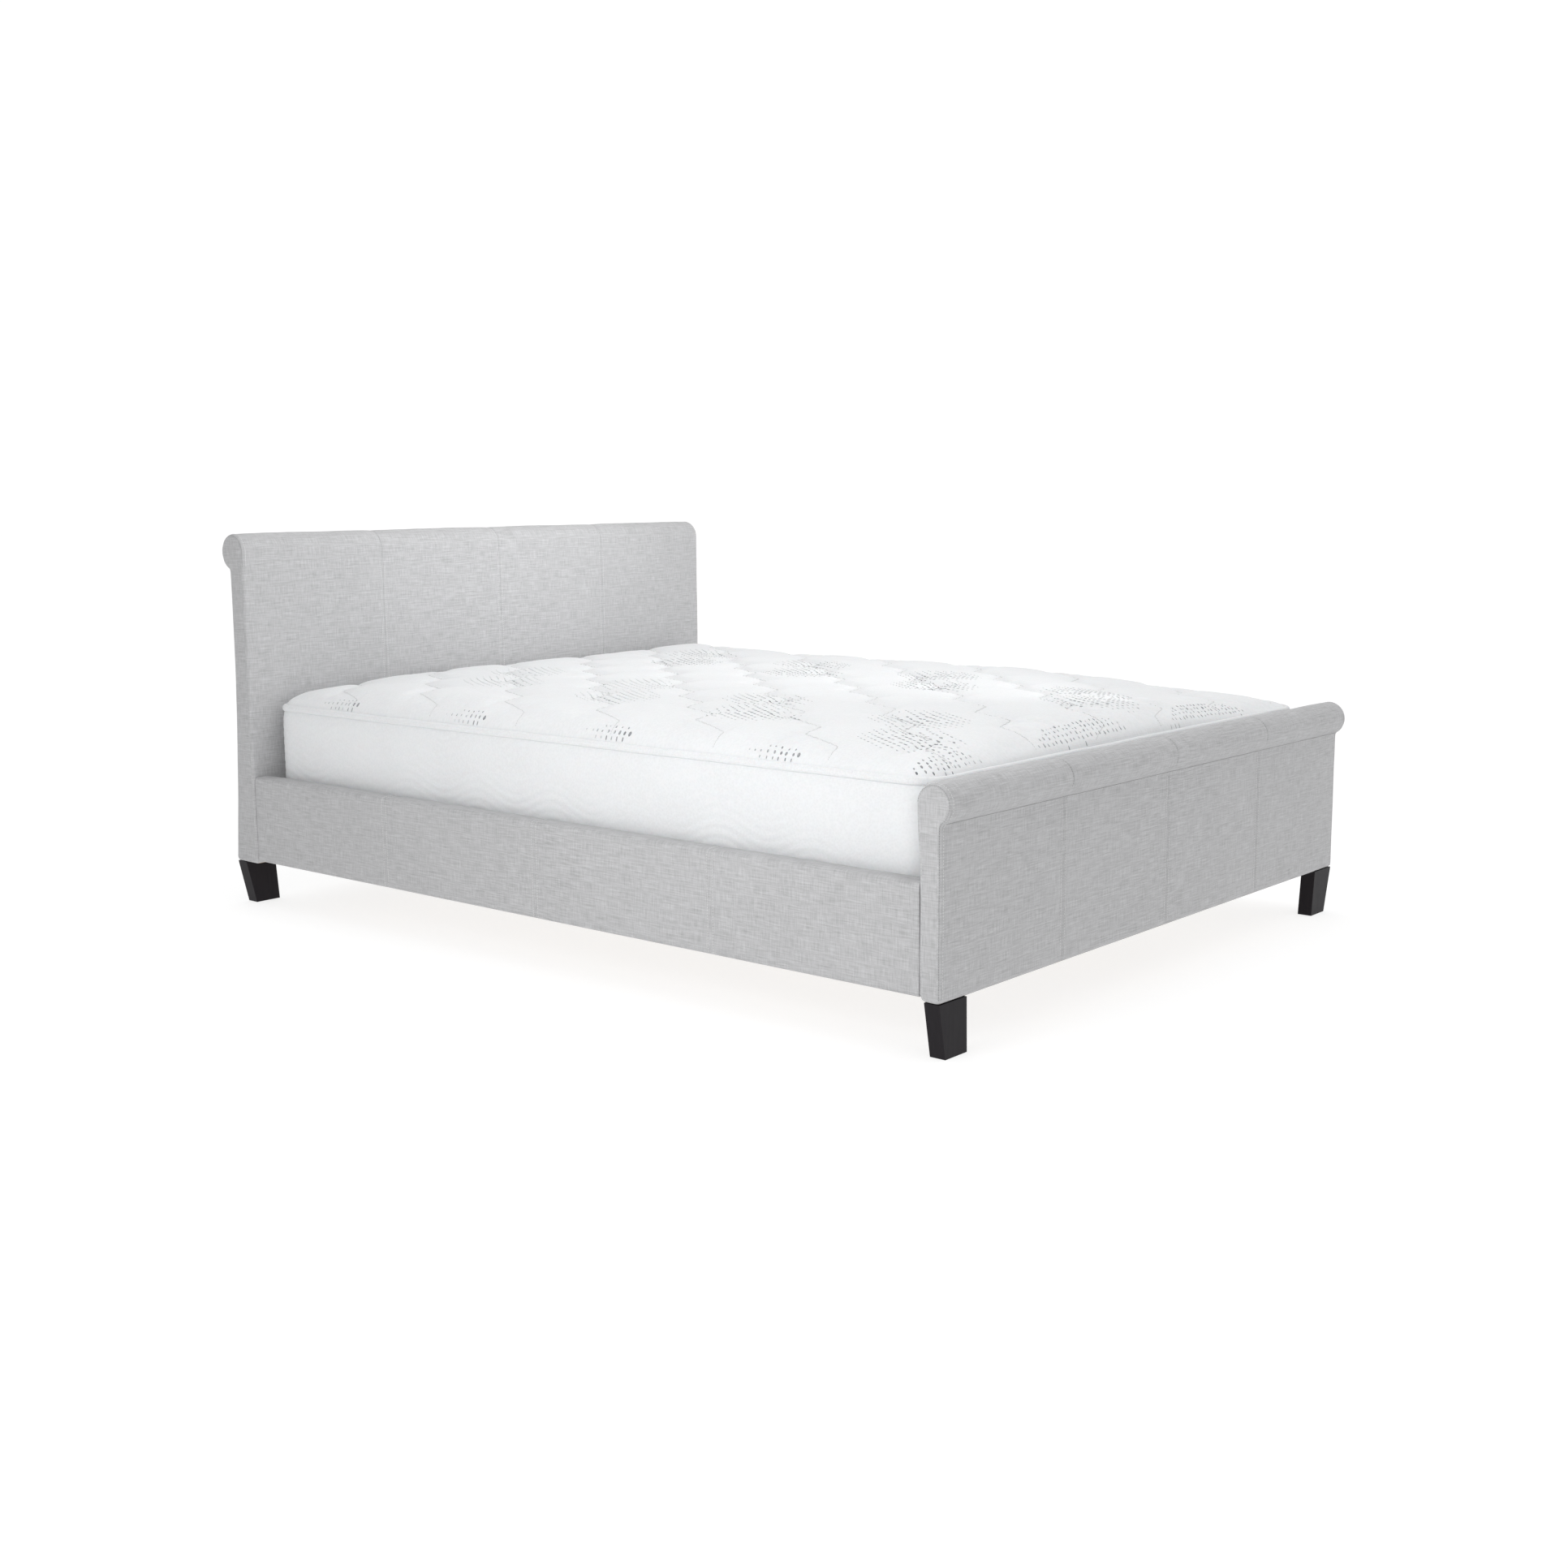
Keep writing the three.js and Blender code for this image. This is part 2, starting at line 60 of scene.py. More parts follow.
HALF_WIDTH = head_high.x
BOARD_BOTTOM = head_low.z
HEAD_FRONT = head_low.y
HEAD_BACK = head_high.y
HEAD_TOP = head_high.z
HEAD_ROLL_RADIUS = 44 * MM
HEAD_ROLL_Y = HEAD_FRONT + HEAD_ROLL_RADIUS
HEAD_WAIST = HEAD_FRONT + 57 * MM  # the back of the board just under its roll
HEAD_CREASE_Z = 0.826  # where the roll meets the back
FOOT_OVERHANG = 22 * MM
FOOT_ROLL_RADIUS = 38.5 * MM
FOOT_ROLL_Y = foot_low.y + FOOT_ROLL_RADIUS
FOOT_OUTER = foot_low.y + FOOT_OVERHANG
FOOT_INNER = FOOT_OUTER + 48 * MM
FOOT_TOP = foot_high.z
FOOT_CREASE_Z = 0.4297
TAPE_TOP_Z = 0.4915
TAPE_HALF_WIDTH = 6 * MM
TAPE_HALF_HEIGHT = 8 * MM
BORDER_TOP_Z = 0.484  # the border starts just under the tape


# ---- camera, light and floor ----

def add_camera():
    yaw, pitch, roll = (math.radians(a) for a in (-49.506, -8.874, -0.414))
    data = bpy.data.cameras.new("camera")
    data.sensor_width = 36
    data.lens = 43.75
    camera = bpy.data.objects.new("camera", data)
    bpy.context.scene.collection.objects.link(camera)
    camera.location = (-3.46026, -2.97771, 1.01537)
    turns = ((yaw, "Z"), (math.pi / 2 + pitch, "X"), (roll, "Z"))
    first, second, third = (Matrix.Rotation(angle, 3, axis) for angle, axis in turns)
    camera.rotation_euler = (first @ second @ third).to_euler()
    bpy.context.scene.camera = camera


DIM_SIDE = 0.20


def add_world(strength):
    """White studio surroundings, dimmer on the left where they light the bed but white to look at."""
    world = bpy.data.worlds.new("studio")
    bpy.context.scene.world = world
    n = Nodes(world, "Background")
    x, _, _ = n.xyz(n.node("ShaderNodeTexCoord").outputs["Generated"])
    ends = {"From Min": -1.0, "From Max": 0.0, "To Min": DIM_SIDE, "To Max": 1.0}
    shade = n.result("ShaderNodeMapRange", {"Value": x, **ends})
    is_seen = n.node("ShaderNodeLightPath").outputs["Is Camera Ray"]
    n.set(Color=n.math("MAXIMUM", shade, is_seen), Strength=strength)


def add_area_light(name, location, target, size, power, spread=180):
    data = bpy.data.lights.new(name, "AREA")
    data.shape = "DISK"
    data.size = size
    data.energy = power
    data.spread = math.radians(spread)
    light = bpy.data.objects.new(name, data)
    light.location = location
    light.visible_camera = False
    light.rotation_euler = (Vector(target) - Vector(location)).to_track_quat("-Z", "Y").to_euler()
    bpy.context.scene.collection.objects.link(light)


def add_floor():
    mesh = bpy.data.meshes.new("floor")
    shape = bmesh.new()
    bmesh.ops.create_grid(shape, x_segments=8, y_segments=8, size=40)
    shape.to_mesh(mesh)
    shape.free()
    floor = bpy.data.objects.new("floor", mesh)
    floor.location.z = -0.0005
    bpy.context.scene.collection.objects.link(floor)
    floor.data.materials.append(floor_material())


# ---- node helpers ----

class Nodes:
    """Adds nodes to a material or a world, a few words at a time."""

    def __init__(self, owner, shader="Principled BSDF"):
        self.owner = owner
        owner.use_nodes = True
        self.tree = owner.node_tree
        self.shader = self.tree.nodes[shader]

    def node(self, kind, **settings):
        made = self.tree.nodes.new(kind)
        for key, value in settings.items():
            setattr(made, key, value)
        return made

    def plug(self, socket, value):
        if isinstance(value, bpy.types.NodeSocket):
            self.tree.links.new(value, socket)
        else:
            socket.default_value = value

    def result(self, kind, inputs, **settings):
        """The first output of a new node, whose inputs are given by number or name."""
        made = self.node(kind, **settings)
        for key, value in inputs.items():
            self.plug(made.inputs[key], value)
        return made.outputs[0]

    def math(self, operation, a, b=0.0):
        return self.result("ShaderNodeMath", {0: a, 1: b}, operation=operation)

    def product(self, a, b):
        return self.math("MULTIPLY", a, b)

    def weighted(self, *parts):
        """The sum of (weight, value) pairs."""
        total = 0.0
        for weight, value in parts:
            total = self.math("ADD", self.product(value, weight), total)
        return total

    def attribute(self, name):
        return self.node("ShaderNodeAttribute", attribute_name=name).outputs["Vector"]

    def position(self):
        return self.node("ShaderNodeTexCoord").outputs["Object"]

    def xyz(self, vector):
        made = self.node("ShaderNodeSeparateXYZ")
        self.plug(made.inputs[0], vector)
        return made.outputs

    def noise(self, vector, scale=1.0, detail=2.0, roughness=0.5):
        inputs = {"Vector": vector, "Scale": scale, "Detail": detail, "Roughness": roughness}
        return self.result("ShaderNodeTexNoise", inputs)

    def stretched_noise(self, vector, scale, detail=2.0, roughness=0.5):
        scaled = self.result("ShaderNodeMapping", {"Vector": vector, "Scale": scale})
        return self.noise(scaled, 1.0, detail, roughness)

    def ramp(self, value, stops):
        made = self.node("ShaderNodeValToRGB")
        self.plug(made.inputs[0], value)
        elements = made.color_ramp.elements
        while len(elements) < len(stops):
            elements.new(0.5)
        for element, (place, colour) in zip(elements, stops):
            element.position = place
            element.color = (*colour, 1)
        return made.outputs[0]

    def between(self, value, low, high):
        return self.result("ShaderNodeMapRange", {"Value": value, "To Min": low, "To Max": high})

    def bump(self, height, distance, strength, normal=None):
        inputs = {"Height": height, "Distance": distance, "Strength": strength}
        if normal is not None:
            inputs["Normal"] = normal
        return self.result("ShaderNodeBump", inputs)

    def set(self, **values):
        for key, value in values.items():
            self.plug(self.shader.inputs[key.replace("_", " ")], value)
        return self.owner


def new_material(name):
    return Nodes(bpy.data.materials.new(name))


def grey(level, warmth=0.0):
    return (level * (1 + warmth), level, level * (1 - warmth))


# ---- materials ----

def floor_material():
    n = new_material("pale_floor")
    cloud = n.noise(n.position(), 0.6, 2)
    n.set(Emission_Color=(1, 1, 1, 1), Emission_Strength=0.76, Roughness=0.9, Specular_IOR_Level=0.1)
    return n.set(Base_Color=n.ramp(cloud, [(0.3, grey(0.29)), (0.7, grey(0.31))]))


def woven_height(n, place, pitch):
    """Plain weave: warp and weft threads pass over each other in a chequer, from 0 to 1."""
    u, v, _ = n.xyz(place)
    wave_u = n.math("SINE", n.product(u, math.pi / pitch))
    wave_v = n.math("SINE", n.product(v, math.pi / pitch))
    over = n.math("GREATER_THAN", n.product(wave_u, wave_v), 0.0)
    warp = n.product(n.math("ABSOLUTE", wave_u), over)
    weft = n.product(n.math("ABSOLUTE", wave_v), n.math("SUBTRACT", 1.0, over))
    return n.math("ADD", warp, weft)


def linen_material():
    n = new_material("grey_linen")
    place = n.attribute("weave")
    slub_across = n.stretched_noise(place, (26, 420, 1), 2, 0.6)
    thick_across = n.stretched_noise(place, (14, 210, 1), 2)
    slub_up = n.stretched_noise(place, (400, 34, 1), 2, 0.6)
    cloud = n.noise(place, 4, 2)
    threads = n.weighted((0.40, slub_across), (0.36, slub_up), (0.18, thick_across), (0.06, cloud))
    weave = woven_height(n, place, 1.7 * MM)
    tone = n.weighted((1.0, threads), (0.05, weave))
    colour = n.ramp(tone, [
        (0.36, (0.338, 0.337, 0.341)),
        (0.51, (0.445, 0.445, 0.452)),
        (0.66, (0.550, 0.552, 0.560)),
    ])
    roughness = n.between(slub_up, 0.82, 0.97)
    slubs = n.bump(threads, 1.6 * MM, 0.6)
    surface = n.bump(weave, 0.35 * MM, 0.5, slubs)
    n.set(Specular_IOR_Level=0.25, Sheen_Weight=0.22, Sheen_Roughness=0.45)
    return n.set(Base_Color=colour, Roughness=roughness, Normal=surface)


def thread_material(name, low, high):
    """Sewing thread: fine twist along the stitch, with a little sheen."""
    n = new_material(name)
    place = n.position()
    fibres = n.noise(place, 900, 2)
    colour = n.ramp(fibres, [(0.35, low), (0.65, high)])
    twist = n.bump(n.noise(place, 2500, 1), 0.1 * MM, 0.5)
    roughness = n.between(fibres, 0.5, 0.75)
    return n.set(Base_Color=colour, Roughness=roughness, Normal=twist, Sheen_Weight=0.3)


def knit_height(n, place, pitch):
    """Rows of knit loops, from 0 to 1."""
    u, v, _ = n.xyz(place)
    wale = n.math("ABSOLUTE", n.math("SINE", n.product(u, 2 * math.pi / pitch)))
    row = n.product(v, 2 * math.pi / (1.3 * pitch))
    course = n.math("SINE", n.math("ADD", row, n.product(wale, 0.9)))
    return n.product(n.product(n.math("ADD", course, 1.0), n.math("ADD", wale, 0.4)), 0.36)


def ticking_material(name, net_pitch, net_depth, dark, light):
    """White mattress knit over a soft net of raised cells."""
    n = new_material(name)
    place = n.attribute("weave")
    loops = knit_height(n, place, 1.5 * MM)
    net = n.result("ShaderNodeTexVoronoi", {"Vector": place, "Scale": 1 / net_pitch})
    cloud = n.noise(place, 7, 3)
    tone = n.weighted((0.25, loops), (0.35, net), (0.40, cloud))
    colour = n.ramp(tone, [(0.2, dark), (0.6, light)])
    net_normal = n.bump(net, net_depth, 0.6)
    crease = n.stretched_noise(place, (38, 11, 5), 3, 0.55)
    crease_normal = n.bump(crease, 2.0 * MM, 0.35, net_normal)
    surface = n.bump(loops, 0.25 * MM, 0.5, crease_normal)
    n.set(Sheen_Weight=0.2, Subsurface_Weight=0.05, Subsurface_Scale=0.01)
    return n.set(Base_Color=colour, Roughness=n.between(cloud, 0.8, 0.95), Normal=surface)


def motif_material():
    """Grey yarn, paler where a motif fades into the white."""
    n = new_material("grey_tufts")
    place = n.position()
    patch = n.noise(place, 9, 2)
    fibres = n.noise(place, 700, 2)
    depth = n.node("ShaderNodeAttribute", attribute_name="depth").outputs["Fac"]
    tone = n.weighted((0.40, patch), (0.15, fibres), (0.45, depth))
    colour = n.ramp(tone, [(0.26, (0.74, 0.75, 0.76)), (0.62, (0.18, 0.19, 0.20))])
    loops = n.bump(fibres, 0.3 * MM, 0.6)
    return n.set(Base_Color=colour, Roughness=n.between(fibres, 0.8, 0.95), Normal=loops)


def timber_material(name, pale, dark, scale, roughness):
    """Straight grain along the scale's small axis, with pores and growth bands."""
    n = new_material(name)
    place = n.position()
    bands = n.stretched_noise(place, scale, 4, 0.6)
    pores = n.stretched_noise(place, tuple(9 * s for s in scale), 2)
    tone = n.weighted((0.8, bands), (0.2, pores))
    colour = n.ramp(tone, [(0.35, dark), (0.65, pale)])
    surface = n.bump(pores, 0.4 * MM, 0.4)
    sheen = n.between(tone, roughness + 0.1, roughness - 0.1)
    return n.set(Base_Color=colour, Roughness=sheen, Normal=surface)


def espresso_material():
    n = new_material("espresso_wood")
    place = n.position()
    grain = n.stretched_noise(place, (120, 120, 9), 4, 0.65)
    mottle = n.noise(place, 30, 3)
    tone = n.weighted((0.7, grain), (0.3, mottle))
    colour = n.ramp(tone, [(0.3, (0.008, 0.0065, 0.0085)), (0.7, (0.012, 0.010, 0.0125))])
    surface = n.bump(grain, 0.5 * MM, 0.35)
    n.set(Coat_Weight=0.04, Coat_Roughness=0.28, Specular_IOR_Level=0.13)
    return n.set(Base_Color=colour, Roughness=n.between(mottle, 0.36, 0.52), Normal=surface)


def moulded_material(name, colour, rough, metallic=0.0):
    """Fine moulded, painted or plated grain."""
    n = new_material(name)
    place = n.position()
    speckle = n.noise(place, 900, 2)
    scuff = n.noise(place, 45, 4, 0.65)
    tone = n.weighted((0.4, speckle), (0.6, scuff))
    low = tuple(0.8 * c for c in colour)
    high = tuple(min(1, 1.25 * c) for c in colour)
    surface = n.bump(speckle, 0.12 * MM, 0.5)
    shade = n.ramp(tone, [(0.35, low), (0.65, high)])
    roughness = n.between(scuff, rough - 0.08, rough + 0.12)
    return n.set(Base_Color=shade, Roughness=roughness, Normal=surface, Metallic=metallic)


# ---- mesh helpers ----

def add_piece(name, points, faces, material, body, weave=None):
    """A mesh object that rides on a body. weave holds the cloth's own coordinates at face corners."""
    mesh = bpy.data.meshes.new(name)
    mesh.from_pydata([tuple(p) for p in points], [], faces)
    mesh.validate()
    mesh.shade_smooth()
    if weave is not None:
        attribute = mesh.attributes.new("weave", "FLOAT_VECTOR", "CORNER")
        attribute.data.foreach_set("vector", np.asarray(weave, np.float32).ravel())
    mesh.materials.append(material)
    piece = bpy.data.objects.new(name, mesh)
    bpy.context.scene.collection.objects.link(piece)
    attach(piece, body)
    return piece


def quads_of_grid(rows, columns, wrap):
    """Corner indices of the quads of a grid whose points are numbered row by row."""
    i, j = np.meshgrid(np.arange(rows - 1), np.arange(columns if wrap else columns - 1), indexing="ij")
    k = (j + 1) % columns
    here, above = i * columns, (i + 1) * columns
    return np.stack([here + j, here + k, above + k, above + j], -1).reshape(-1, 4)


def weave_at_corners(u, v, patch, order=(0, 1, 2, 3)):
    """Weave coordinates at the corners of a grid's quads. order suits the way the quads are wound."""
    at = np.stack(np.broadcast_arrays(u, v, float(patch)), -1)
    corners = [at[:-1, :-1], at[:-1, 1:], at[1:, 1:], at[1:, :-1]]
    return np.stack([corners[k] for k in order], 2).reshape(-1, 4, 3)


def lengths_along(points):
    """How far along its path each point lies."""
    steps = np.linalg.norm(np.diff(points, axis=0), axis=1)
    return np.concatenate([[0], np.cumsum(steps)])


def arc_points(centre, radius, start, end, steps):
    angles = np.radians(np.linspace(start, end, steps + 1))
    return [(centre[0] + radius * math.cos(a), centre[1] + radius * math.sin(a)) for a in angles]


def bezier_points(controls, steps):
    p = np.array(controls)
    t = np.linspace(0, 1, steps + 1)[:, None]
    start = (1 - t) ** 3 * p[0] + 3 * t * (1 - t) ** 2 * p[1]
    end = 3 * t * t * (1 - t) * p[2] + t ** 3 * p[3]
    return [tuple(q) for q in start + end]


def resampled(path, step):
    """The path's points at even steps along its length, and the length to each."""
    p = np.array(path)
    length = lengths_along(p)
    count = max(2, round(length[-1] / step))
    at = np.linspace(0, length[-1], count + 1)
    return np.stack([np.interp(at, length, p[:, k]) for k in (0, 1)], -1), at


def outward_normals(ring):
    """Unit normals of a closed anticlockwise ring of points."""
    ahead = np.roll(ring, -1, 0) - np.roll(ring, 1, 0)
    normal = np.stack([ahead[:, 1], -ahead[:, 0]], -1)
    return normal / np.linalg.norm(normal, axis=1)[:, None]


def anticlockwise(ring):
    x, y = ring[:, 0], ring[:, 1]
    return np.sum(x * np.roll(y, -1) - y * np.roll(x, -1)) > 0


def soft_noise(u, v, scale, seed):
    return np.array([noise.noise(Vector((a * scale, b * scale, seed))) for a, b in zip(u, v)])


# ---- sewing ----

def stitch_places(run, start, pitch):
    """The start, end and normal of a stitch every pitch along a run of (point, normal) samples."""
    points = np.array([p for p, _ in run])
    normals = np.array([n for _, n in run])
    length = lengths_along(points)
    at = np.arange(start, length[-1] - pitch, pitch)

    def along(values, places):
        return np.stack([np.interp(places, length, values[:, k]) for k in range(3)], -1)

    return along(points, at), along(points, at + pitch * 0.8), along(normals, at)


class Sewing:
    """Stitches gathered into one mesh: each is a small closed bead of thread."""

    def __init__(self, radius, pitch):
        self.radius = radius
        self.pitch = pitch
        self.points = []
        self.faces = []

    def run(self, samples, lift=0.3):
        """Stitches along samples. lift is how far they stand out, in thread radii."""
        start, end, normal = stitch_places(samples, self.pitch / 2, self.pitch)
        ahead = end - start
        ahead /= np.linalg.norm(ahead, axis=1)[:, None]
        side = np.cross(ahead, normal)
        for a, b, n, w in zip(start, end, normal, side):
            self.bead(a, b, n, w, lift)

    def bead(self, a, b, out, side, lift):
        r = self.radius
        base = len(self.points)
        self.points.append(a - out * 0.4 * r)
        for share, size, height in ((0.18, 0.8, lift), (0.5, 1.0, lift + 0.25), (0.82, 0.8, lift)):
            middle = a + (b - a) * share + out * height * r
            for w, h in ((1, 0), (0, 1), (-1, 0), (0, -1)):
                self.points.append(middle + (side * w + out * h) * r * size)
        self.points.append(b - out * 0.4 * r)
        for k in range(4):
            m = (k + 1) % 4
            self.faces.append((base, base + 1 + m, base + 1 + k))
            for ring in (base + 1, base + 5):
                self.faces.append((ring + k, ring + m, ring + 4 + m, ring + 4 + k))
            self.faces.append((base + 9 + k, base + 9 + m, base + 13))

    def build(self, name, material, body, slot):
        return add_piece(name, self.points, self.faces, material, body)


# ---- covers: one profile carried along a board ----

SEAM_STEPS = np.array([-14, -9, -6, -4, -2.5, -1.2, 0, 1.2, 2.5, 4, 6, 9, 14]) * MM


def stations(low, high, edge, seams, step):
    """Places along a cover: close together at its rounded ends and at its seams, as (place, inset)."""
    turn = np.radians(np.linspace(90, 0, 7))
    start = [(low + edge - edge * math.sin(a), edge - edge * math.cos(a)) for a in turn]
    end = [(high - edge + edge * math.sin(a), edge - edge * math.cos(a)) for a in turn[::-1]]
    inner = np.arange(low + edge + step, high - edge - step / 2, step)
    inner = [x for x in inner if all(abs(x - s) > 16 * MM for s in seams)]
    inner += [s + d for s in seams for d in SEAM_STEPS]
    return start + [(x, 0.0) for x in sorted(inner)] + end


def panel_puff(along, low, high, seams, height):
    """How far the padding stands between the seams."""
    edges = [low, *seams, high]
    puff = np.zeros_like(along)
    for a, b in zip(edges, edges[1:]):
        inside = (along >= a) & (along <= b)
        t = np.clip((2 * along - a - b) / (b - a), -1, 1)
        puff = np.where(inside, height * (1 - t ** 6), puff)
    return puff


class Cover:
    """A fabric cover: a closed path in a plane, carried over a span of x or y."""

    def __init__(self, name, axis, path, span, edge, seams):
        points, lengths = resampled(path, 7 * MM)
        ring, lengths = points[:-1], lengths[:-1]
        if not anticlockwise(ring):
            ring, lengths = ring[::-1], lengths[::-1]
        self.name = name
        self.axis = axis
        self.ring = ring
        self.normal = outward_normals(ring)
        self.lengths = lengths
        self.low, self.high = span
        self.seams = seams
        self.places = stations(*span, edge, seams, 10 * MM)
        order = np.argsort(lengths)
        self.lengths_in_order = lengths[order]
        self.looseness = np.where(self.normal[:, 1] < -0.5, 0.15, 1.0)[order]

    def lift(self, along, lengths):
        """How far the padded cloth stands off the flat form: fuller between seams, a little uneven."""
        lift = panel_puff(along, self.low, self.high, self.seams, 1.6 * MM) - 1 * MM
        lift += sum(-1.1 * MM * np.exp(-((along - s) / (1.8 * MM)) ** 2) for s in self.seams)
        lift += soft_noise(along, lengths, 9, SEED) * 0.7 * MM
        lift += soft_noise(along, lengths, 28, SEED + 1) * 0.3 * MM
        return lift * np.interp(lengths, self.lengths_in_order, self.looseness)

    def place(self, along, flat):
        if self.axis == "x":
            return (along, flat[0], flat[1])
        return (flat[0], along, flat[1])

    def sample(self, along, index, inset=0.0):
        """A point of the padded cloth, and the way out of it, at one place along and one round."""
        lift = self.lift(np.array([along]), self.lengths[[index]])[0] - inset
        flat = self.ring[index] + self.normal[index] * lift
        return np.array(self.place(along, flat)), np.array(self.place(0.0, self.normal[index]))

    def run_round(self, along, indices, inset=0.0):
        """A line of sewing that crosses the board."""
        return [self.sample(along, i, inset) for i in indices]

    def run_along(self, index, low, high):
        """A line of sewing that follows the board."""
        return [self.sample(along, index) for along in np.linspace(low, high, 120)]

    def indices_where(self, chosen):
        """Ring indices that meet a condition on (point, normal), in order round the ring."""
        keep = [i for i, (p, n) in enumerate(zip(self.ring, self.normal)) if chosen(p, n)]
        jumps = [k for k in range(1, len(keep)) if keep[k] - keep[k - 1] > 3]
        start = jumps[0] if jumps else 0
        return keep[start:] + keep[:start]

    def grid(self):
        """The points of each station."""
        rows = []
        for along, inset in self.places:
            lift = self.lift(np.full(len(self.ring), along), self.lengths) - inset
            flat = self.ring + self.normal * lift[:, None]
            rows.append([self.place(along, f) for f in flat])
        return np.array(rows)

    def weave(self):
        """Weave coordinates at the corners of the quads: along the board, and round its profile."""
        total = self.lengths.max() + np.linalg.norm(self.ring[0] - self.ring[1])
        round_it = np.append(self.lengths, total if self.lengths[0] < self.lengths[-1] else 0.0)
        along = np.array([place for place, _ in self.places])
        return weave_at_corners(along[:, None], round_it, 0)

    def build(self, node, material):
        grid = self.grid()
        rows, columns = grid.shape[:2]
        points = grid.reshape(-1, 3)
        quads = quads_of_grid(rows, columns, wrap=True)
        corners = self.weave()
        caps = [np.arange(columns)[::-1], (rows - 1) * columns + np.arange(columns)]
        if self.axis == "y":
            quads, corners = quads[:, ::-1], corners[:, ::-1]
            caps = [cap[::-1] for cap in caps]
        weave = [corners.reshape(-1, 3)]
        for panel, cap in enumerate(caps):
            flat = points[cap]
            across = flat[:, 1] if self.axis == "x" else flat[:, 0]
            weave.append(np.column_stack([across, flat[:, 2], np.full(columns, panel + 1.0)]))
        faces = quads.tolist() + [cap.tolist() for cap in caps]
        piece = add_piece(self.name, points, faces, material,
                          "frame", np.concatenate(weave))
        for cap in (-1, -2):
            piece.data.polygons[cap].use_smooth = False
        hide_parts(node)
        return self


HEAD_SWEEP_Z = (0.690, 0.470, 0.290)  # the back's curve: straight above the first
FOOT_BULGE_Z = (0.330, 0.380, 0.420)  # the inner face's bulge under the roll
SOFT_CORNER = 9 * MM
FOOT_INNER_CORNER = 15 * MM


def head_profile():
    """From the bottom of the front, up, over the roll and down the back."""
    bottom = BOARD_BOTTOM + SOFT_CORNER
    roll = (HEAD_ROLL_Y, HEAD_TOP - HEAD_ROLL_RADIUS)
    meet = -math.degrees(math.acos((HEAD_WAIST - HEAD_ROLL_Y) / HEAD_ROLL_RADIUS))
    top_z, high_z, low_z = HEAD_SWEEP_Z
    tail = [(HEAD_WAIST, top_z), (HEAD_WAIST, high_z), (HEAD_BACK - 15 * MM, low_z), (HEAD_BACK, bottom)]
    path = [(HEAD_FRONT, bottom)]
    path += arc_points(roll, HEAD_ROLL_RADIUS, 180, meet, 60)
    path += bezier_points(tail, 30)
    path += arc_points((HEAD_BACK - SOFT_CORNER, bottom), SOFT_CORNER, 0, -90, 5)
    path += arc_points((HEAD_FRONT + SOFT_CORNER, bottom), SOFT_CORNER, -90, -180, 5)
    return path


def foot_profile():
    """From the bottom of the inner face, up, over the roll and down the outer face, back to front."""
    roll_z = FOOT_TOP - FOOT_ROLL_RADIUS
    meet = 180 + math.degrees(math.acos((FOOT_ROLL_Y - FOOT_OUTER) / FOOT_ROLL_RADIUS))
    bulge_y = FOOT_ROLL_Y + FOOT_ROLL_RADIUS
    low_z, pull_z, high_z = FOOT_BULGE_Z
    bulge = [(FOOT_INNER, low_z), (FOOT_INNER, pull_z), (bulge_y, high_z), (bulge_y, roll_z)]
    outer_corner = (FOOT_OUTER + SOFT_CORNER, BOARD_BOTTOM + SOFT_CORNER)
    inner_corner = (FOOT_INNER - FOOT_INNER_CORNER, BOARD_BOTTOM + FOOT_INNER_CORNER)
    path = [(FOOT_INNER, BOARD_BOTTOM + FOOT_INNER_CORNER)]
    path += bezier_points(bulge, 20)
    path += arc_points((FOOT_ROLL_Y, roll_z), FOOT_ROLL_RADIUS, 0, meet, 56)[1:]
    path += [(FOOT_OUTER, BOARD_BOTTOM + SOFT_CORNER)]
    path += arc_points(outer_corner, SOFT_CORNER, 180, 270, 5)
    path += arc_points(inner_corner, FOOT_INNER_CORNER, 270, 360, 7)
    return path


def rail_profile(side):
    """From the top inner edge, over to the outer face, down and under."""
    outer, inner = HALF_WIDTH - 2 * MM, HALF_WIDTH - 43 * MM
    low, high = rail_low.z, rail_high.z
    big, small = 9 * MM, 5 * MM
    path = arc_points((inner + small, high - small), small, 180, 90, 4)
    path += arc_points((outer - big, high - big), big, 90, 0, 6)
    path += arc_points((outer - small, low + small), small, 0, -90, 4)
    path += arc_points((inner + small, low + small), small, -90, -180, 4)
    path.append(path[0])
    return [(side * x, z) for x, z in path]


def quarter_seams(low, high):
    return [low + (high - low) * k / 4 for k in (1, 2, 3)]


def build_covers(linen):
    board_span, board_edge = (-HALF_WIDTH, HALF_WIDTH), 7 * MM
    rail_span, rail_edge = (rail_low.y, rail_high.y), 2.2 * MM
    head_seams = [-385 * MM, 10 * MM, 395 * MM]
    foot_seams = quarter_seams(*board_span)
    rail_seams = quarter_seams(FOOT_INNER, HEAD_FRONT)
    head = Cover("headboard_upholstery", "x", head_profile(), board_span, board_edge, head_seams)
    foot = Cover("footboard_upholstery", "x", foot_profile(), board_span, board_edge, foot_seams)
    head.build("headboard_cover", linen)
    foot.build("footboard_cover", linen)
    rails = []
    for side, word in ((-1, "left"), (1, "right")):
        name, path = f"side_rail_upholstery_{word}", rail_profile(side)
        rail = Cover(name, "y", path, rail_span, rail_edge, rail_seams)
        rails.append(rail.build(f"side_rail_cover_{word}", linen))
    sew_covers(head, foot, rails)


HEM_Z = BOARD_BOTTOM + 8 * MM  # no stitches show below this


def on_head_front(p, n):
    return n[0] < -0.7 and p[1] > HEM_Z


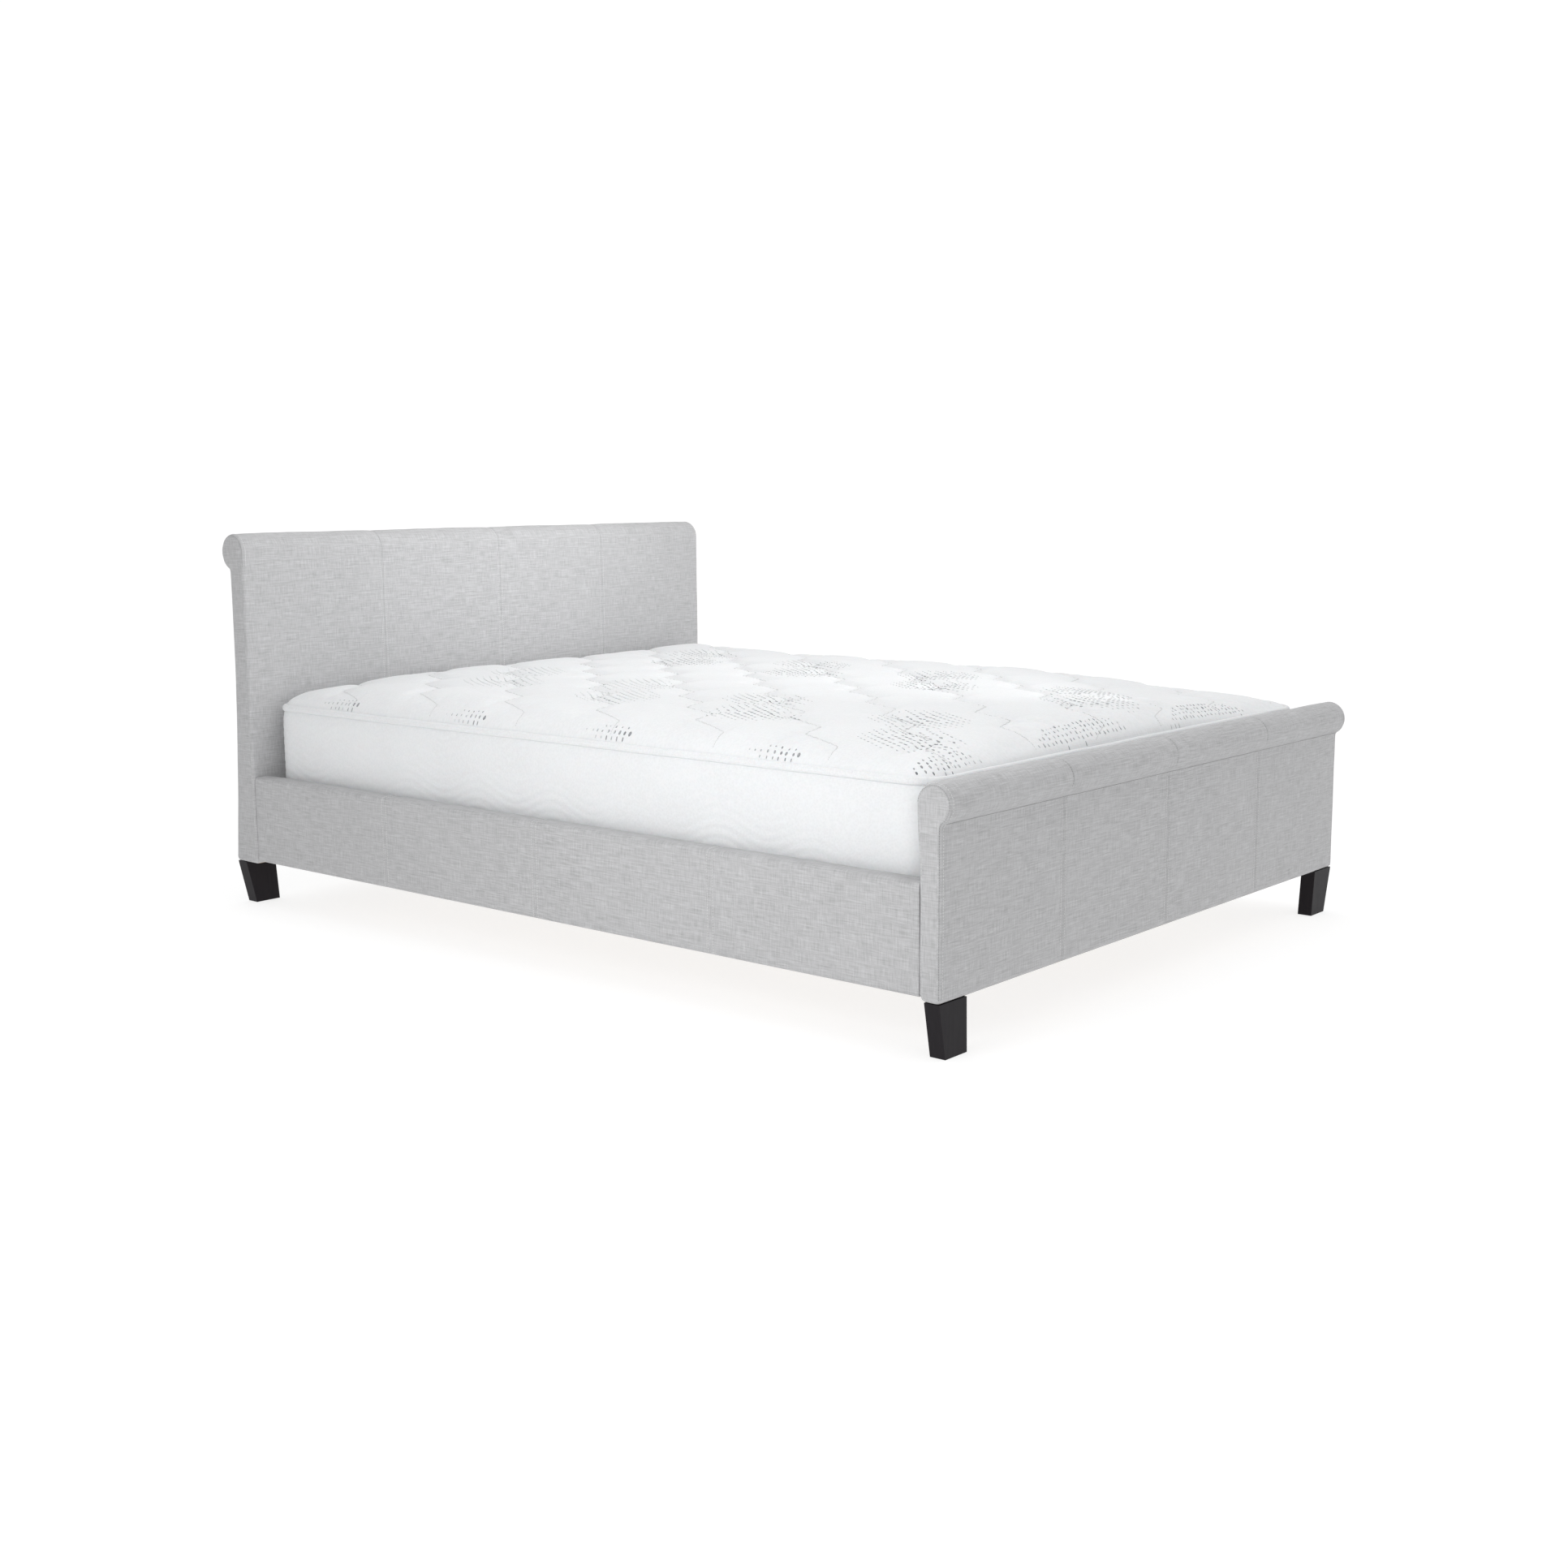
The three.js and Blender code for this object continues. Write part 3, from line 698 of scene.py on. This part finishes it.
def on_foot_face(p, n):
    return n[0] < -0.7 and HEM_Z < p[1] < FOOT_CREASE_Z


def round_head_end(p, n):
    return p[1] > HEAD_TOP - 88 * MM or (p[0] > HEAD_ROLL_Y and n[0] > 0.5)


def round_foot_end(p, n):
    return p[1] > FOOT_TOP - 45 * MM or (p[0] < FOOT_ROLL_Y and (n[0] < -0.3 or p[1] > 0.3))


def sew_covers(head, foot, rails):
    pale_thread = thread_material("pale_thread", grey(0.60), grey(0.76))
    # Dark thread coloured as painted shade: it stands for the shaded stitch holes over the rolls and the
    # shade in the crease under each roll. The same thread also outlines the end panels.
    dark_thread_and_painted_shade = thread_material("dark_thread_and_painted_shade", grey(0.13), grey(0.24))
    pale = Sewing(0.75 * MM, 5.5 * MM)
    dark = Sewing(0.45 * MM, 4.6 * MM)
    sew_board(head, pale, dark, on_head_front, HEAD_TOP - 75 * MM, (HEAD_WAIST, HEAD_CREASE_Z))
    sew_board(foot, pale, dark, on_foot_face, FOOT_TOP - 60 * MM, (FOOT_OUTER, FOOT_CREASE_Z))
    outline_ends(head, pale, dark, head.indices_where(round_head_end))
    outline_ends(foot, pale, dark, foot.indices_where(round_foot_end))
    for rail in rails:
        side = 1 if rail.ring[:, 0].mean() > 0 else -1
        sew_seams(rail, pale, rail.indices_where(lambda p, n: n[0] * side > 0.3 or n[1] > 0.7))
    pale.build("topstitching", pale_thread, "frame", "upholstery")
    dark.build("seam_stitching_and_painted_shade", dark_thread_and_painted_shade, "frame", "upholstery")


def sew_seams(cover, pale, *stretches):
    """Two rows of topstitch beside each seam, over some stretches of the profile."""
    for seam in cover.seams:
        for shift in (-7 * MM, 7 * MM):
            for indices in stretches:
                pale.run(cover.run_round(seam + shift, indices))


def sew_board(cover, pale, dark, is_shown, top_z, crease):
    """Seams of a head or foot board: paired topstitch up each seam, and dark stitches over its roll whose
    colour is painted shade of the stitch holes, with a dark line of stitches along the crease under the
    roll as painted shade in that crease.
    """
    up = cover.indices_where(lambda p, n: is_shown(p, n) and p[1] < top_z)
    over = cover.indices_where(lambda p, n: p[1] >= top_z)
    behind = cover.indices_where(lambda p, n: n[0] > 0.7 and HEM_Z < p[1] < crease[1] - 6 * MM)
    sew_seams(cover, pale, up, behind)
    # Dark stitches over the roll: painted shade of the stitch holes.
    for seam in cover.seams:
        dark.run(cover.run_round(seam, over))
    # A dark line of stitches along the crease under the roll: painted shade in that crease.
    nearest = min(range(len(cover.ring)), key=lambda i: math.dist(cover.ring[i], crease))
    dark.run(cover.run_along(nearest, cover.low + 12 * MM, cover.high - 12 * MM), lift=1.2)


def outline_ends(cover, pale, dark, indices):
    """The dark seam round a board's end panel, with a pale row of stitches beside it."""
    for end, way in ((cover.low, 1), (cover.high, -1)):
        dark.run(cover.run_round(end + way * 1.2 * MM, indices, 3.2 * MM), lift=0.8)
        pale.run(cover.run_round(end + way * 9 * MM, indices))


# ---- mattress ----

CORNER_RADIUS = 55 * MM
TOP_INSET = 5 * MM
BORDER_STEP = 4 * MM
SHOULDER_WIDTH = 120 * MM
SHOULDER_FOOT_Z = 0.490
SHOULDER_RISE = 53 * MM
SHOULDER_POWER = 2.2
CROWN = 5 * MM
CORNER_PULL = 40 * MM
CORNER_PULL_REACH = 0.45
# How far each corner droops: the corner's way in x and y, the droop, and its reach.
CORNER_DROOPS = [
    (-1, -1, 18 * MM, 0.80),
    (1, -1, 34 * MM, 0.80),
    (-1, 1, 18 * MM, 0.45),
    (1, 1, -12 * MM, 0.50),
]

# Lines of quilting: the way they run, the gap between two, and the zigzag along each.
STITCH_ALONG = (0.665, 0.747)
STITCH_SPACING = 195 * MM
STITCH_PERIOD = 209 * MM
STITCH_START = 176 * MM
STITCH_SWING = 22 * MM
STITCH_RISE = 0.37
STITCH_SHIFT = 38 * MM
QUILT_LOFT = 9 * MM
CLOTH_FRAMES = 16
CLOTH_SETTINGS = {
    "quality": 5,
    "mass": 0.25,
    "tension_stiffness": 10,
    "compression_stiffness": 10,
    "shear_stiffness": 4,
    "bending_stiffness": 0.3,
    "vertex_group_mass": "held",
    "shrink_min": -0.03,
    "use_pressure": True,
    "uniform_pressure_force": 4,
}
QUILT_FLOOR_Z = 0.505  # no quilting below this, on the shoulders
HELD_WIDTH = 3.2 * MM  # cloth this near a line is held by it

# The motif: columns of medallions from the foot, as (x of the first, depth of colour of each),
# and the smaller groups that run over the edges.
MOTIF_PITCH = 450 * MM
MOTIF_DRIFT = 55 * MM
MOTIF_START = -765 * MM
MOTIF_COLUMNS = [
    (-475 * MM, (0.9, 0.8, 0.2, 0.1)),
    (165 * MM, (0.9, 1.0, 0.8, 0.9)),
]
LOBE_LENGTH = 128 * MM
LOBE_WIDTH = 100 * MM
LOBE_APART = np.array([96, 62]) * MM
DASH_PITCH = 19 * MM
DASH_ROW = 17 * MM
ROW_SLANT = 0.37  # each row starts this share of a dash further on
SIDE_GROUP_X = 742 * MM
SIDE_GROUP_START = -625 * MM
SIDE_DOT_TURN = math.radians(30)
END_GROUP_Y = -997 * MM
END_GROUP_XS = [-735 * MM, -213 * MM, 307 * MM]
END_DOT_TURN = math.radians(65)
END_DOT_PITCH = 16 * MM
END_DOT_ROW = 12 * MM


def grid_lines(low, high, step):
    """Places across the top, closer together near both edges, where it curves most."""
    close = np.cumsum([0, 1.2, 1.8, 2.4, 3.0, 3.6, 4.2, 5.0, 5.8, 6.4]) * MM
    count = round((high - low - 2 * close[-1]) / step)
    middle = np.linspace(low + close[-1], high - close[-1], count + 1)[1:-1]
    return np.concatenate([low + close, middle, high - close[::-1]])


def round_corners(x, y, half_x, half_y):
    """Moves grid points of a rectangle, centred on the origin, so that its corners are round."""
    over_x = np.clip((np.abs(x) - half_x + CORNER_RADIUS) / CORNER_RADIUS, 0, 1)
    over_y = np.clip((np.abs(y) - half_y + CORNER_RADIUS) / CORNER_RADIUS, 0, 1)
    new_x = over_x * np.sqrt(1 - over_y ** 2 / 2)
    new_y = over_y * np.sqrt(1 - over_x ** 2 / 2)
    x = x + np.sign(x) * (new_x - over_x) * CORNER_RADIUS
    y = y + np.sign(y) * (new_y - over_y) * CORNER_RADIUS
    return x, y


def edge_distance(x, y, half_x, half_y):
    """How far inside the rounded outline each point is."""
    over_x = np.abs(x) - half_x + CORNER_RADIUS
    over_y = np.abs(y) - half_y + CORNER_RADIUS
    outside = np.hypot(np.maximum(over_x, 0), np.maximum(over_y, 0))
    return CORNER_RADIUS - outside - np.minimum(np.maximum(over_x, over_y), 0)


def stitch_swing(along):
    """A zigzag that rises for the share STITCH_RISE of each period, and falls for the rest."""
    t = (along - STITCH_START) / STITCH_PERIOD
    t = t - np.floor(t)
    rising, falling = 2 * t / STITCH_RISE - 1, 1 - 2 * (t - STITCH_RISE) / (1 - STITCH_RISE)
    return STITCH_SWING * np.where(t < STITCH_RISE, rising, falling)


def stitch_offset(x, y):
    """Signed distance from the nearest stair-shaped line of quilting, across the lines."""
    along = x * STITCH_ALONG[0] + y * STITCH_ALONG[1]
    across = x * STITCH_ALONG[1] - y * STITCH_ALONG[0] + STITCH_SHIFT
    across = across - stitch_swing(along)
    return across - np.round(across / STITCH_SPACING) * STITCH_SPACING


class Mattress:
    """The mattress: a quilted top on a grid, a border of embossed waves and a flat bottom."""

    def __init__(self):
        self.centre = (bed_low + bed_high) / 2
        self.half_x = (bed_high.x - bed_low.x) / 2
        self.half_y = (bed_high.y - bed_low.y) / 2
        self.make_top()

    def make_top(self):
        half_x, half_y = self.half_x - TOP_INSET, self.half_y - TOP_INSET
        lines_x = grid_lines(-half_x, half_x, 8 * MM)
        lines_y = grid_lines(-half_y, half_y, 8 * MM)
        self.shape = (len(lines_y), len(lines_x))
        x, y = np.meshgrid(lines_x, lines_y)
        x, y = round_corners(x.ravel(), y.ravel(), half_x, half_y)
        depth = np.clip(edge_distance(x, y, half_x, half_y), 0, None)
        x = x - self.pull(x, y)
        share = np.clip(depth / SHOULDER_WIDTH, 0, 1)
        rise = (1 - (1 - share) ** SHOULDER_POWER) ** (1 / SHOULDER_POWER)
        self.x, self.y = x + self.centre.x, y + self.centre.y
        self.z = SHOULDER_FOOT_Z + (SHOULDER_RISE + self.crown(x, y)) * rise
        self.depth = depth
        self.offset = stitch_offset(self.x, self.y)
        self.z_quilted = self.z + self.puff()
        self.fill()

    def pull(self, x, y):
        """The far foot corner is drawn in a little, as the photograph shows."""
        far = np.hypot(x - self.half_x, y + self.half_y) / CORNER_PULL_REACH
        return CORNER_PULL * np.clip(1 - far, 0, 1) ** 2

    def crown(self, x, y):
        """The top stands a little higher in the middle, and droops to its corners."""
        crown = CROWN * (1 - (x / self.half_x) ** 2)
        for way_x, way_y, droop, reach in CORNER_DROOPS:
            far = np.hypot(x - way_x * self.half_x, y - way_y * self.half_y)
            t = np.clip(far / reach, 0, 1)
            crown = crown - droop * (1 - t * t * (3 - 2 * t))
        return crown

    def puff(self):
        """The filling between the lines of quilting."""
        rise = 1 - np.exp(-np.abs(self.offset) / (22 * MM))
        fade = np.clip(self.depth / (25 * MM), 0, 1)
        return 10 * MM * rise * fade

    def fill(self):
        """Swells the quilted top: the cloth is held at the quilting and blown up between it."""
        swell = self.simulated() - self.z
        swell = QUILT_LOFT * np.tanh(np.clip(swell, 0, None) / QUILT_LOFT)
        fade = np.clip(self.depth / (14 * MM), 0, 1)
        self.z_quilted = self.z + np.clip(swell, 0, QUILT_LOFT) * fade

    def simulated(self):
        """Heights of the top after a short run of Blender's cloth under pressure."""
        mesh = bpy.data.meshes.new("top_cloth")
        mesh.from_pydata(np.column_stack([self.x, self.y, self.z]).tolist(), [],
                         quads_of_grid(*self.shape, wrap=False).tolist())
        cloth = bpy.data.objects.new("top_cloth", mesh)
        bpy.context.scene.collection.objects.link(cloth)
        held = cloth.vertex_groups.new(name="held")
        is_held = (np.abs(self.offset) < HELD_WIDTH) | (self.depth < 5 * MM)
        held.add(np.flatnonzero(is_held).tolist(), 1.0, "REPLACE")
        modifier = cloth.modifiers.new("cloth", "CLOTH")
        for key, value in CLOTH_SETTINGS.items():
            setattr(modifier.settings, key, value)
        modifier.settings.effector_weights.gravity = 0
        modifier.point_cache.frame_start = 1
        modifier.point_cache.frame_end = CLOTH_FRAMES
        for step in range(1, CLOTH_FRAMES + 1):
            bpy.context.scene.frame_set(step)
        shaped = cloth.evaluated_get(bpy.context.evaluated_depsgraph_get()).to_mesh()
        place = np.zeros(len(self.x) * 3, np.float32)
        shaped.vertices.foreach_get("co", place)
        bpy.context.scene.frame_set(1)
        bpy.data.objects.remove(cloth)
        return place.reshape(-1, 3)[:, 2].astype(float)

    def boundary(self):
        """Indices of the top's edge points, anticlockwise."""
        rows, columns = self.shape
        index = np.arange(rows * columns).reshape(rows, columns)
        return np.concatenate([index[0, :-1], index[:-1, -1], index[-1, :0:-1], index[:0:-1, 0]])

    def build(self, material):
        top = np.stack([self.x, self.y, self.z_quilted], -1)
        quads = quads_of_grid(*self.shape, wrap=False)
        edge = self.boundary()
        count = len(edge)
        ring = top[edge, :2]
        out = outward_normals(ring)
        length = lengths_along(np.vstack([ring, ring[:1]]))
        rows = []
        for inset, z in self.border_rows():
            lift = self.border_lift(length[:-1], z)
            flat = ring + out * (TOP_INSET - inset + lift)[:, None]
            rows.append(np.column_stack([flat, np.full(count, z)]))
        numbers = len(top) + np.arange(len(rows) * count).reshape(-1, count)
        faces = quads.tolist()
        for above, here in zip([edge, *numbers], numbers):
            faces += np.stack([np.roll(above, -1), above, here, np.roll(here, -1)], -1).tolist()
        faces.append(numbers[-1][::-1].tolist())
        down = -BORDER_STEP * np.arange(len(rows) + 1)
        border = weave_at_corners(length, down[:, None], 5, order=(1, 0, 3, 2))
        bottom = rows[-1][::-1] * (1, 1, 0) + (0, 0, 9)
        weave = [(top * (1, 1, 0))[quads].reshape(-1, 3), border.reshape(-1, 3), bottom]
        piece = add_piece("mattress_body", np.concatenate([top, *rows]), faces, material,
                          "mattress", np.concatenate(weave))
        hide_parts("mattress")
        self.surface = BVHTree.FromPolygons(top.tolist(), quads.tolist())

    def border_rows(self):
        """The border from under the tape down to the bottom edge, as (inset, height)."""
        top, low = BORDER_TOP_Z, bed_low.z + 12 * MM
        upper = [(6, -3), (3.4, 0), (2.2, 4), (1.4, 9), (0.9, 14), (0.3, 18)]
        lower = [(0.6, 3), (2.5, 7), (5, 10)]
        rows = [(inset * MM, top - down * MM) for inset, down in upper]
        rows += [(0.0, z) for z in np.arange(top - 22 * MM, low, -BORDER_STEP)]
        rows += [(inset * MM, low - down * MM) for inset, down in lower]
        return rows + [(9 * MM, bed_low.z)]

    def border_lift(self, length, z):
        """The border's swell, and the waves embossed in it."""
        middle = (BORDER_TOP_Z + bed_low.z) / 2
        half = (BORDER_TOP_Z - bed_low.z) / 2
        t = np.clip((z - middle) / half, -1, 1)
        swell = 2.5 * MM * (1 - t ** 4)
        swell = swell + 1.2 * MM * np.sin(length * 2 * math.pi / 0.31) * (1 - t ** 2)
        wave = z - 17 * MM * np.sin(2 * math.pi * length / 0.24)
        gap = wave - np.round(wave / (20 * MM)) * 20 * MM
        groove = -1.5 * MM * np.exp(-(gap / (3 * MM)) ** 2)
        fade = np.clip((1 - abs(t)) * 8, 0, 1)
        patches = soft_noise(length, length * 0 + z, 4.5, SEED + 3)
        return swell + groove * fade * np.clip(0.75 + 1.6 * patches, 0.25, 1)

    def on_top(self, x, y):
        """The point of the top at a place, and the way out of it, or None beyond its edge."""
        point, normal, _, _ = self.surface.ray_cast(Vector((x, y, 1.0)), Vector((0, 0, -1)))
        if point is None:
            return None
        return np.array(point), np.array(normal if normal.z > 0 else -normal)

    def add_tapes(self, material):
        """The bound edges: a flattened roll of tape round the top, and one round the bottom."""
        self.add_tape("mattress_tape_top", material, TAPE_TOP_Z, -2.0 * MM, 12)
        self.add_tape("mattress_tape_bottom", material, bed_low.z + 8 * MM, 1.5 * MM, -20)

    def add_tape(self, name, material, z, inset, tilt):
        """A flattened roll of tape round the edge, leaning by tilt degrees."""
        ring = np.column_stack([self.x, self.y])[self.boundary()]
        normal = outward_normals(ring)
        length = lengths_along(ring)
        uneven = soft_noise(length, length * 0, 6, SEED + 7) * 1.5 * MM
        sides, lean = 12, math.radians(tilt)
        rows = []
        for a in np.linspace(0, 2 * math.pi, sides, endpoint=False):
            wide, high = TAPE_HALF_WIDTH * math.cos(a), TAPE_HALF_HEIGHT * math.sin(a)
            out = wide * math.cos(lean) - high * math.sin(lean)
            up = wide * math.sin(lean) + high * math.cos(lean)
            flat = ring + normal * (TOP_INSET - inset - TAPE_HALF_WIDTH + out)
            rows.append(np.column_stack([flat, z + up + uneven]))
        points = np.array(rows).transpose(1, 0, 2).reshape(-1, 3)
        count = len(ring)
        i, j = np.meshgrid(np.arange(count), np.arange(sides), indexing="ij")
        here, ahead = i * sides, (i + 1) % count * sides
        above = (j + 1) % sides
        quads = np.stack([here + j, ahead + j, ahead + above, here + above], -1).reshape(-1, 4)
        u = np.append(length, length[-1] + 8 * MM)
        v = np.arange(sides + 1) * 3.2 * MM
        weave = weave_at_corners(u[:, None], v, 3, order=(0, 3, 2, 1))
        add_piece(name, points, quads.tolist(), material, "mattress", weave)

    def add_quilting(self, material):
        """Grey thread in the grooves, one stair-shaped line at a time."""
        sewing = Sewing(0.55 * MM, 6.5 * MM)
        reach = 1.6
        along = np.arange(-reach, reach, 4 * MM)
        ahead = np.array(STITCH_ALONG)
        across_way = np.array([STITCH_ALONG[1], -STITCH_ALONG[0]])
        for line in range(-8, 9):
            across = line * STITCH_SPACING - STITCH_SHIFT + stitch_swing(along)
            places = along[:, None] * ahead + across[:, None] * across_way
            run = [self.on_top(x, y) for x, y in places]
            run = [r for r in run if r is not None and r[0][2] > QUILT_FLOOR_Z]
            if len(run) > 4:
                sewing.run(run)
        sewing.build("mattress_quilting_thread", material, "mattress", "ticking")

    def add_motifs(self, material):
        """Fields of grey tufts knitted into the top."""
        draw = random.Random(SEED)
        tufts = Tufts(self)
        for centre_x, depths in MOTIF_COLUMNS:
            for row, depth in enumerate(depths):
                y = MOTIF_START + row * MOTIF_PITCH
                tufts.medallion(centre_x + row * MOTIF_DRIFT, y, depth, draw)
        for x in (-SIDE_GROUP_X, SIDE_GROUP_X):
            for row in range(4):
                tufts.side_group(x, SIDE_GROUP_START + row * MOTIF_PITCH, draw)
        for x in END_GROUP_XS:
            tufts.end_group(x, END_GROUP_Y, draw)
        tufts.build("mattress_tufts", material)


class Tufts:
    """Short raised dashes, laid on the mattress top and gathered into one mesh."""

    def __init__(self, mattress):
        self.mattress = mattress
        self.points = []
        self.faces = []
        self.depths = []

    def dash(self, x, y, angle, length, width, depth):
        """One dash: a low rounded bead that follows the surface."""
        ahead = np.array([math.cos(angle), math.sin(angle)])
        side = np.array([-ahead[1], ahead[0]])
        rim = []
        for a in np.linspace(0, 2 * math.pi, 8, endpoint=False):
            place = np.array([x, y]) + ahead * length / 2 * math.cos(a) + side * width / 2 * math.sin(a)
            found = self.mattress.on_top(*place)
            if found is None:
                return
            rim.append(found[0] + found[1] * 0.1 * MM)
        middle, out = self.mattress.on_top(x, y)
        base = len(self.points)
        self.points += rim + [middle + out * 0.9 * MM, middle - out * 0.6 * MM]
        self.depths += [depth] * 10
        for k in range(8):
            m = (k + 1) % 8
            self.faces.append((base + k, base + m, base + 8))
            self.faces.append((base + m, base + k, base + 9))

    def lobe(self, centre, lean, depth, draw, other=None):
        """A leaf of curved rows of dashes, smaller towards its rim, that stops short of other."""
        ahead = np.array([math.cos(lean), math.sin(lean)])
        side = np.array([ahead[1], -ahead[0]])
        for row in range(-6, 7):
            for step in range(-7, 8):
                across, along = row * DASH_ROW, (step + ROW_SLANT * row) * DASH_PITCH
                far = math.hypot(along / LOBE_LENGTH, across / LOBE_WIDTH)
                place = centre + ahead * along + side * (across + 0.6 * along * along)
                bare = draw.random() < 0.08
                if bare or far > 1 or (other is not None and self.inside(place, other, lean)):
                    continue
                size = (1.0 - 0.45 * far ** 3) * draw.uniform(0.8, 1.05)
                turn = lean + 0.13 - 1.2 * along + draw.uniform(-0.1, 0.1)
                shade = depth * (1.05 - 0.6 * far) * draw.uniform(0.45, 1.0)
                self.dash(*place, turn, 14 * MM * size, 5.2 * MM * size, shade)

    def inside(self, place, centre, lean):
        away = place - centre
        along = away[0] * math.cos(lean) + away[1] * math.sin(lean)
        across = away[0] * math.sin(lean) - away[1] * math.cos(lean)
        return math.hypot(along / LOBE_LENGTH, across / LOBE_WIDTH) < 1.06

    def medallion(self, x, y, depth, draw):
        """Two leaves side by side, with a thin bare band between them."""
        lean = math.radians(60)
        first = np.array([x, y]) - LOBE_APART
        second = np.array([x, y]) + LOBE_APART
        self.lobe(first, lean, depth, draw)
        self.lobe(second, lean, 0.8 * depth, draw, other=first)

    def side_group(self, x, y, draw):
        """Dots where a motif runs over a side edge: one row of growing dots, and a few beside it."""
        rows = [(4, -3, 2, 0.7), (14, -4, 4, 1.0), (26, -3, 1, 0.75)]
        for inward, first, last, scale in rows:
            for step in range(first, last + 1):
                along = (step + 0.02 * inward) * 16 * MM + draw.uniform(-2.5, 2.5) * MM
                to_dark_end = 0.5 - step / 10
                size = scale * (0.45 + 0.6 * to_dark_end) * draw.uniform(0.75, 1.1)
                shade = (0.15 + 0.75 * to_dark_end) * draw.uniform(0.5, 1.0)
                place_x = x - math.copysign(inward * MM, x)
                self.dash(place_x, y + along, SIDE_DOT_TURN, 11 * MM * size, 6.5 * MM * size, shade)

    def end_group(self, x, y, draw):
        """A band of dots where a motif runs over the foot edge."""
        for row in range(5):
            for step in range(-11 + row, 12 - row):
                along = (step + ROW_SLANT * row) * END_DOT_PITCH + draw.uniform(-2.5, 2.5) * MM
                inward = row * END_DOT_ROW + draw.uniform(-1.5, 1.5) * MM
                shade = (0.8 - 0.5 * abs(step) / 11) * draw.uniform(0.45, 1.0)
                size = draw.uniform(0.6, 0.95)
                self.dash(x + along, y + inward, END_DOT_TURN, 10 * MM * size, 4.8 * MM * size, shade)

    def build(self, name, material):
        piece = add_piece(name, self.points, self.faces, material, "mattress")
        depth = piece.data.attributes.new("depth", "FLOAT", "POINT")
        depth.data.foreach_set("value", self.depths)


# ---- CAD nodes that stay: timber, nylon and steel ----

def dress_node(name, material, bevel=None):
    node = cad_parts[name]
    node.data.materials.clear()
    node.data.materials.append(material)
    if bevel:
        made = node.modifiers.new("soft_edges", "BEVEL")
        made.width = bevel
        made.segments = 2
        made.limit_method = "ANGLE"
        made.angle_limit = math.radians(40)


def dress_cad_nodes():
    carcass = timber_material("carcass_timber", (0.56, 0.40, 0.24), (0.40, 0.26, 0.14), (9, 70, 70), 0.65)
    pine = timber_material("pine", (0.66, 0.48, 0.28), (0.50, 0.33, 0.17), (60, 5, 60), 0.6)
    beech = timber_material("beech_slats", (0.68, 0.50, 0.31), (0.55, 0.37, 0.21), (7, 120, 120), 0.45)
    espresso = espresso_material()
    nylon = moulded_material("black_nylon", (0.020, 0.020, 0.022), 0.5)
    steel = moulded_material("black_steel", (0.028, 0.028, 0.030), 0.42, 0.4)
    zinc = moulded_material("zinc_steel", (0.52, 0.54, 0.57), 0.34, 1.0)
    by_start = [
        ("slat_holder_strip", nylon, None),
        ("slat_ledge", pine, 1.5 * MM),
        ("slat_", beech, 1.2 * MM),
        ("centre_beam_hanger", steel, 0.6 * MM),
        ("centre_beam", pine, 1.5 * MM),
        ("centre_leg", espresso, 1.5 * MM),
        ("levelling_glide", nylon, 1 * MM),
        ("corner_leg", espresso, 1.8 * MM),
        ("corner_bracket", steel, 0.6 * MM),
        ("corner_bolt", zinc, 0.4 * MM),
        ("headboard", carcass, 1 * MM),
        ("footboard", carcass, 1 * MM),
        ("side_rail_board", carcass, 1 * MM),
    ]
    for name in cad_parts:
        found = next(((m, b) for start, m, b in by_start if name.startswith(start)), None)
        if found:
            dress_node(name, *found)


# ---- the scene ----

add_camera()
add_world(1.03)
add_area_light("overhead", (0.3, -0.3, 3.0), (0.2, -0.1, 0), 1.8, 14)
add_area_light("over_the_bed", (0.20, -0.90, 1.00), (0.1, 1.0, 1.02), 0.9, 2.1, 60)
add_area_light("left_softbox", (-2.4, -0.75, 1.1), (-0.8, -0.45, 0.3), 1.0, 16.5)
add_floor()
dress_cad_nodes()
linen = linen_material()
build_covers(linen)
ticking = ticking_material("white_ticking", 5 * MM, 0.4 * MM, grey(0.73, -0.014), grey(0.795, -0.014))
tape = ticking_material("woven_tape", 3.5 * MM, 1.2 * MM, grey(0.71, -0.014), grey(0.80, -0.014))
mattress = Mattress()
mattress.build(ticking)
mattress.add_tapes(tape)
mattress.add_quilting(thread_material("grey_thread", grey(0.46), grey(0.58)))
mattress.add_motifs(motif_material())
bpy.context.scene.view_settings.view_transform = "Standard"
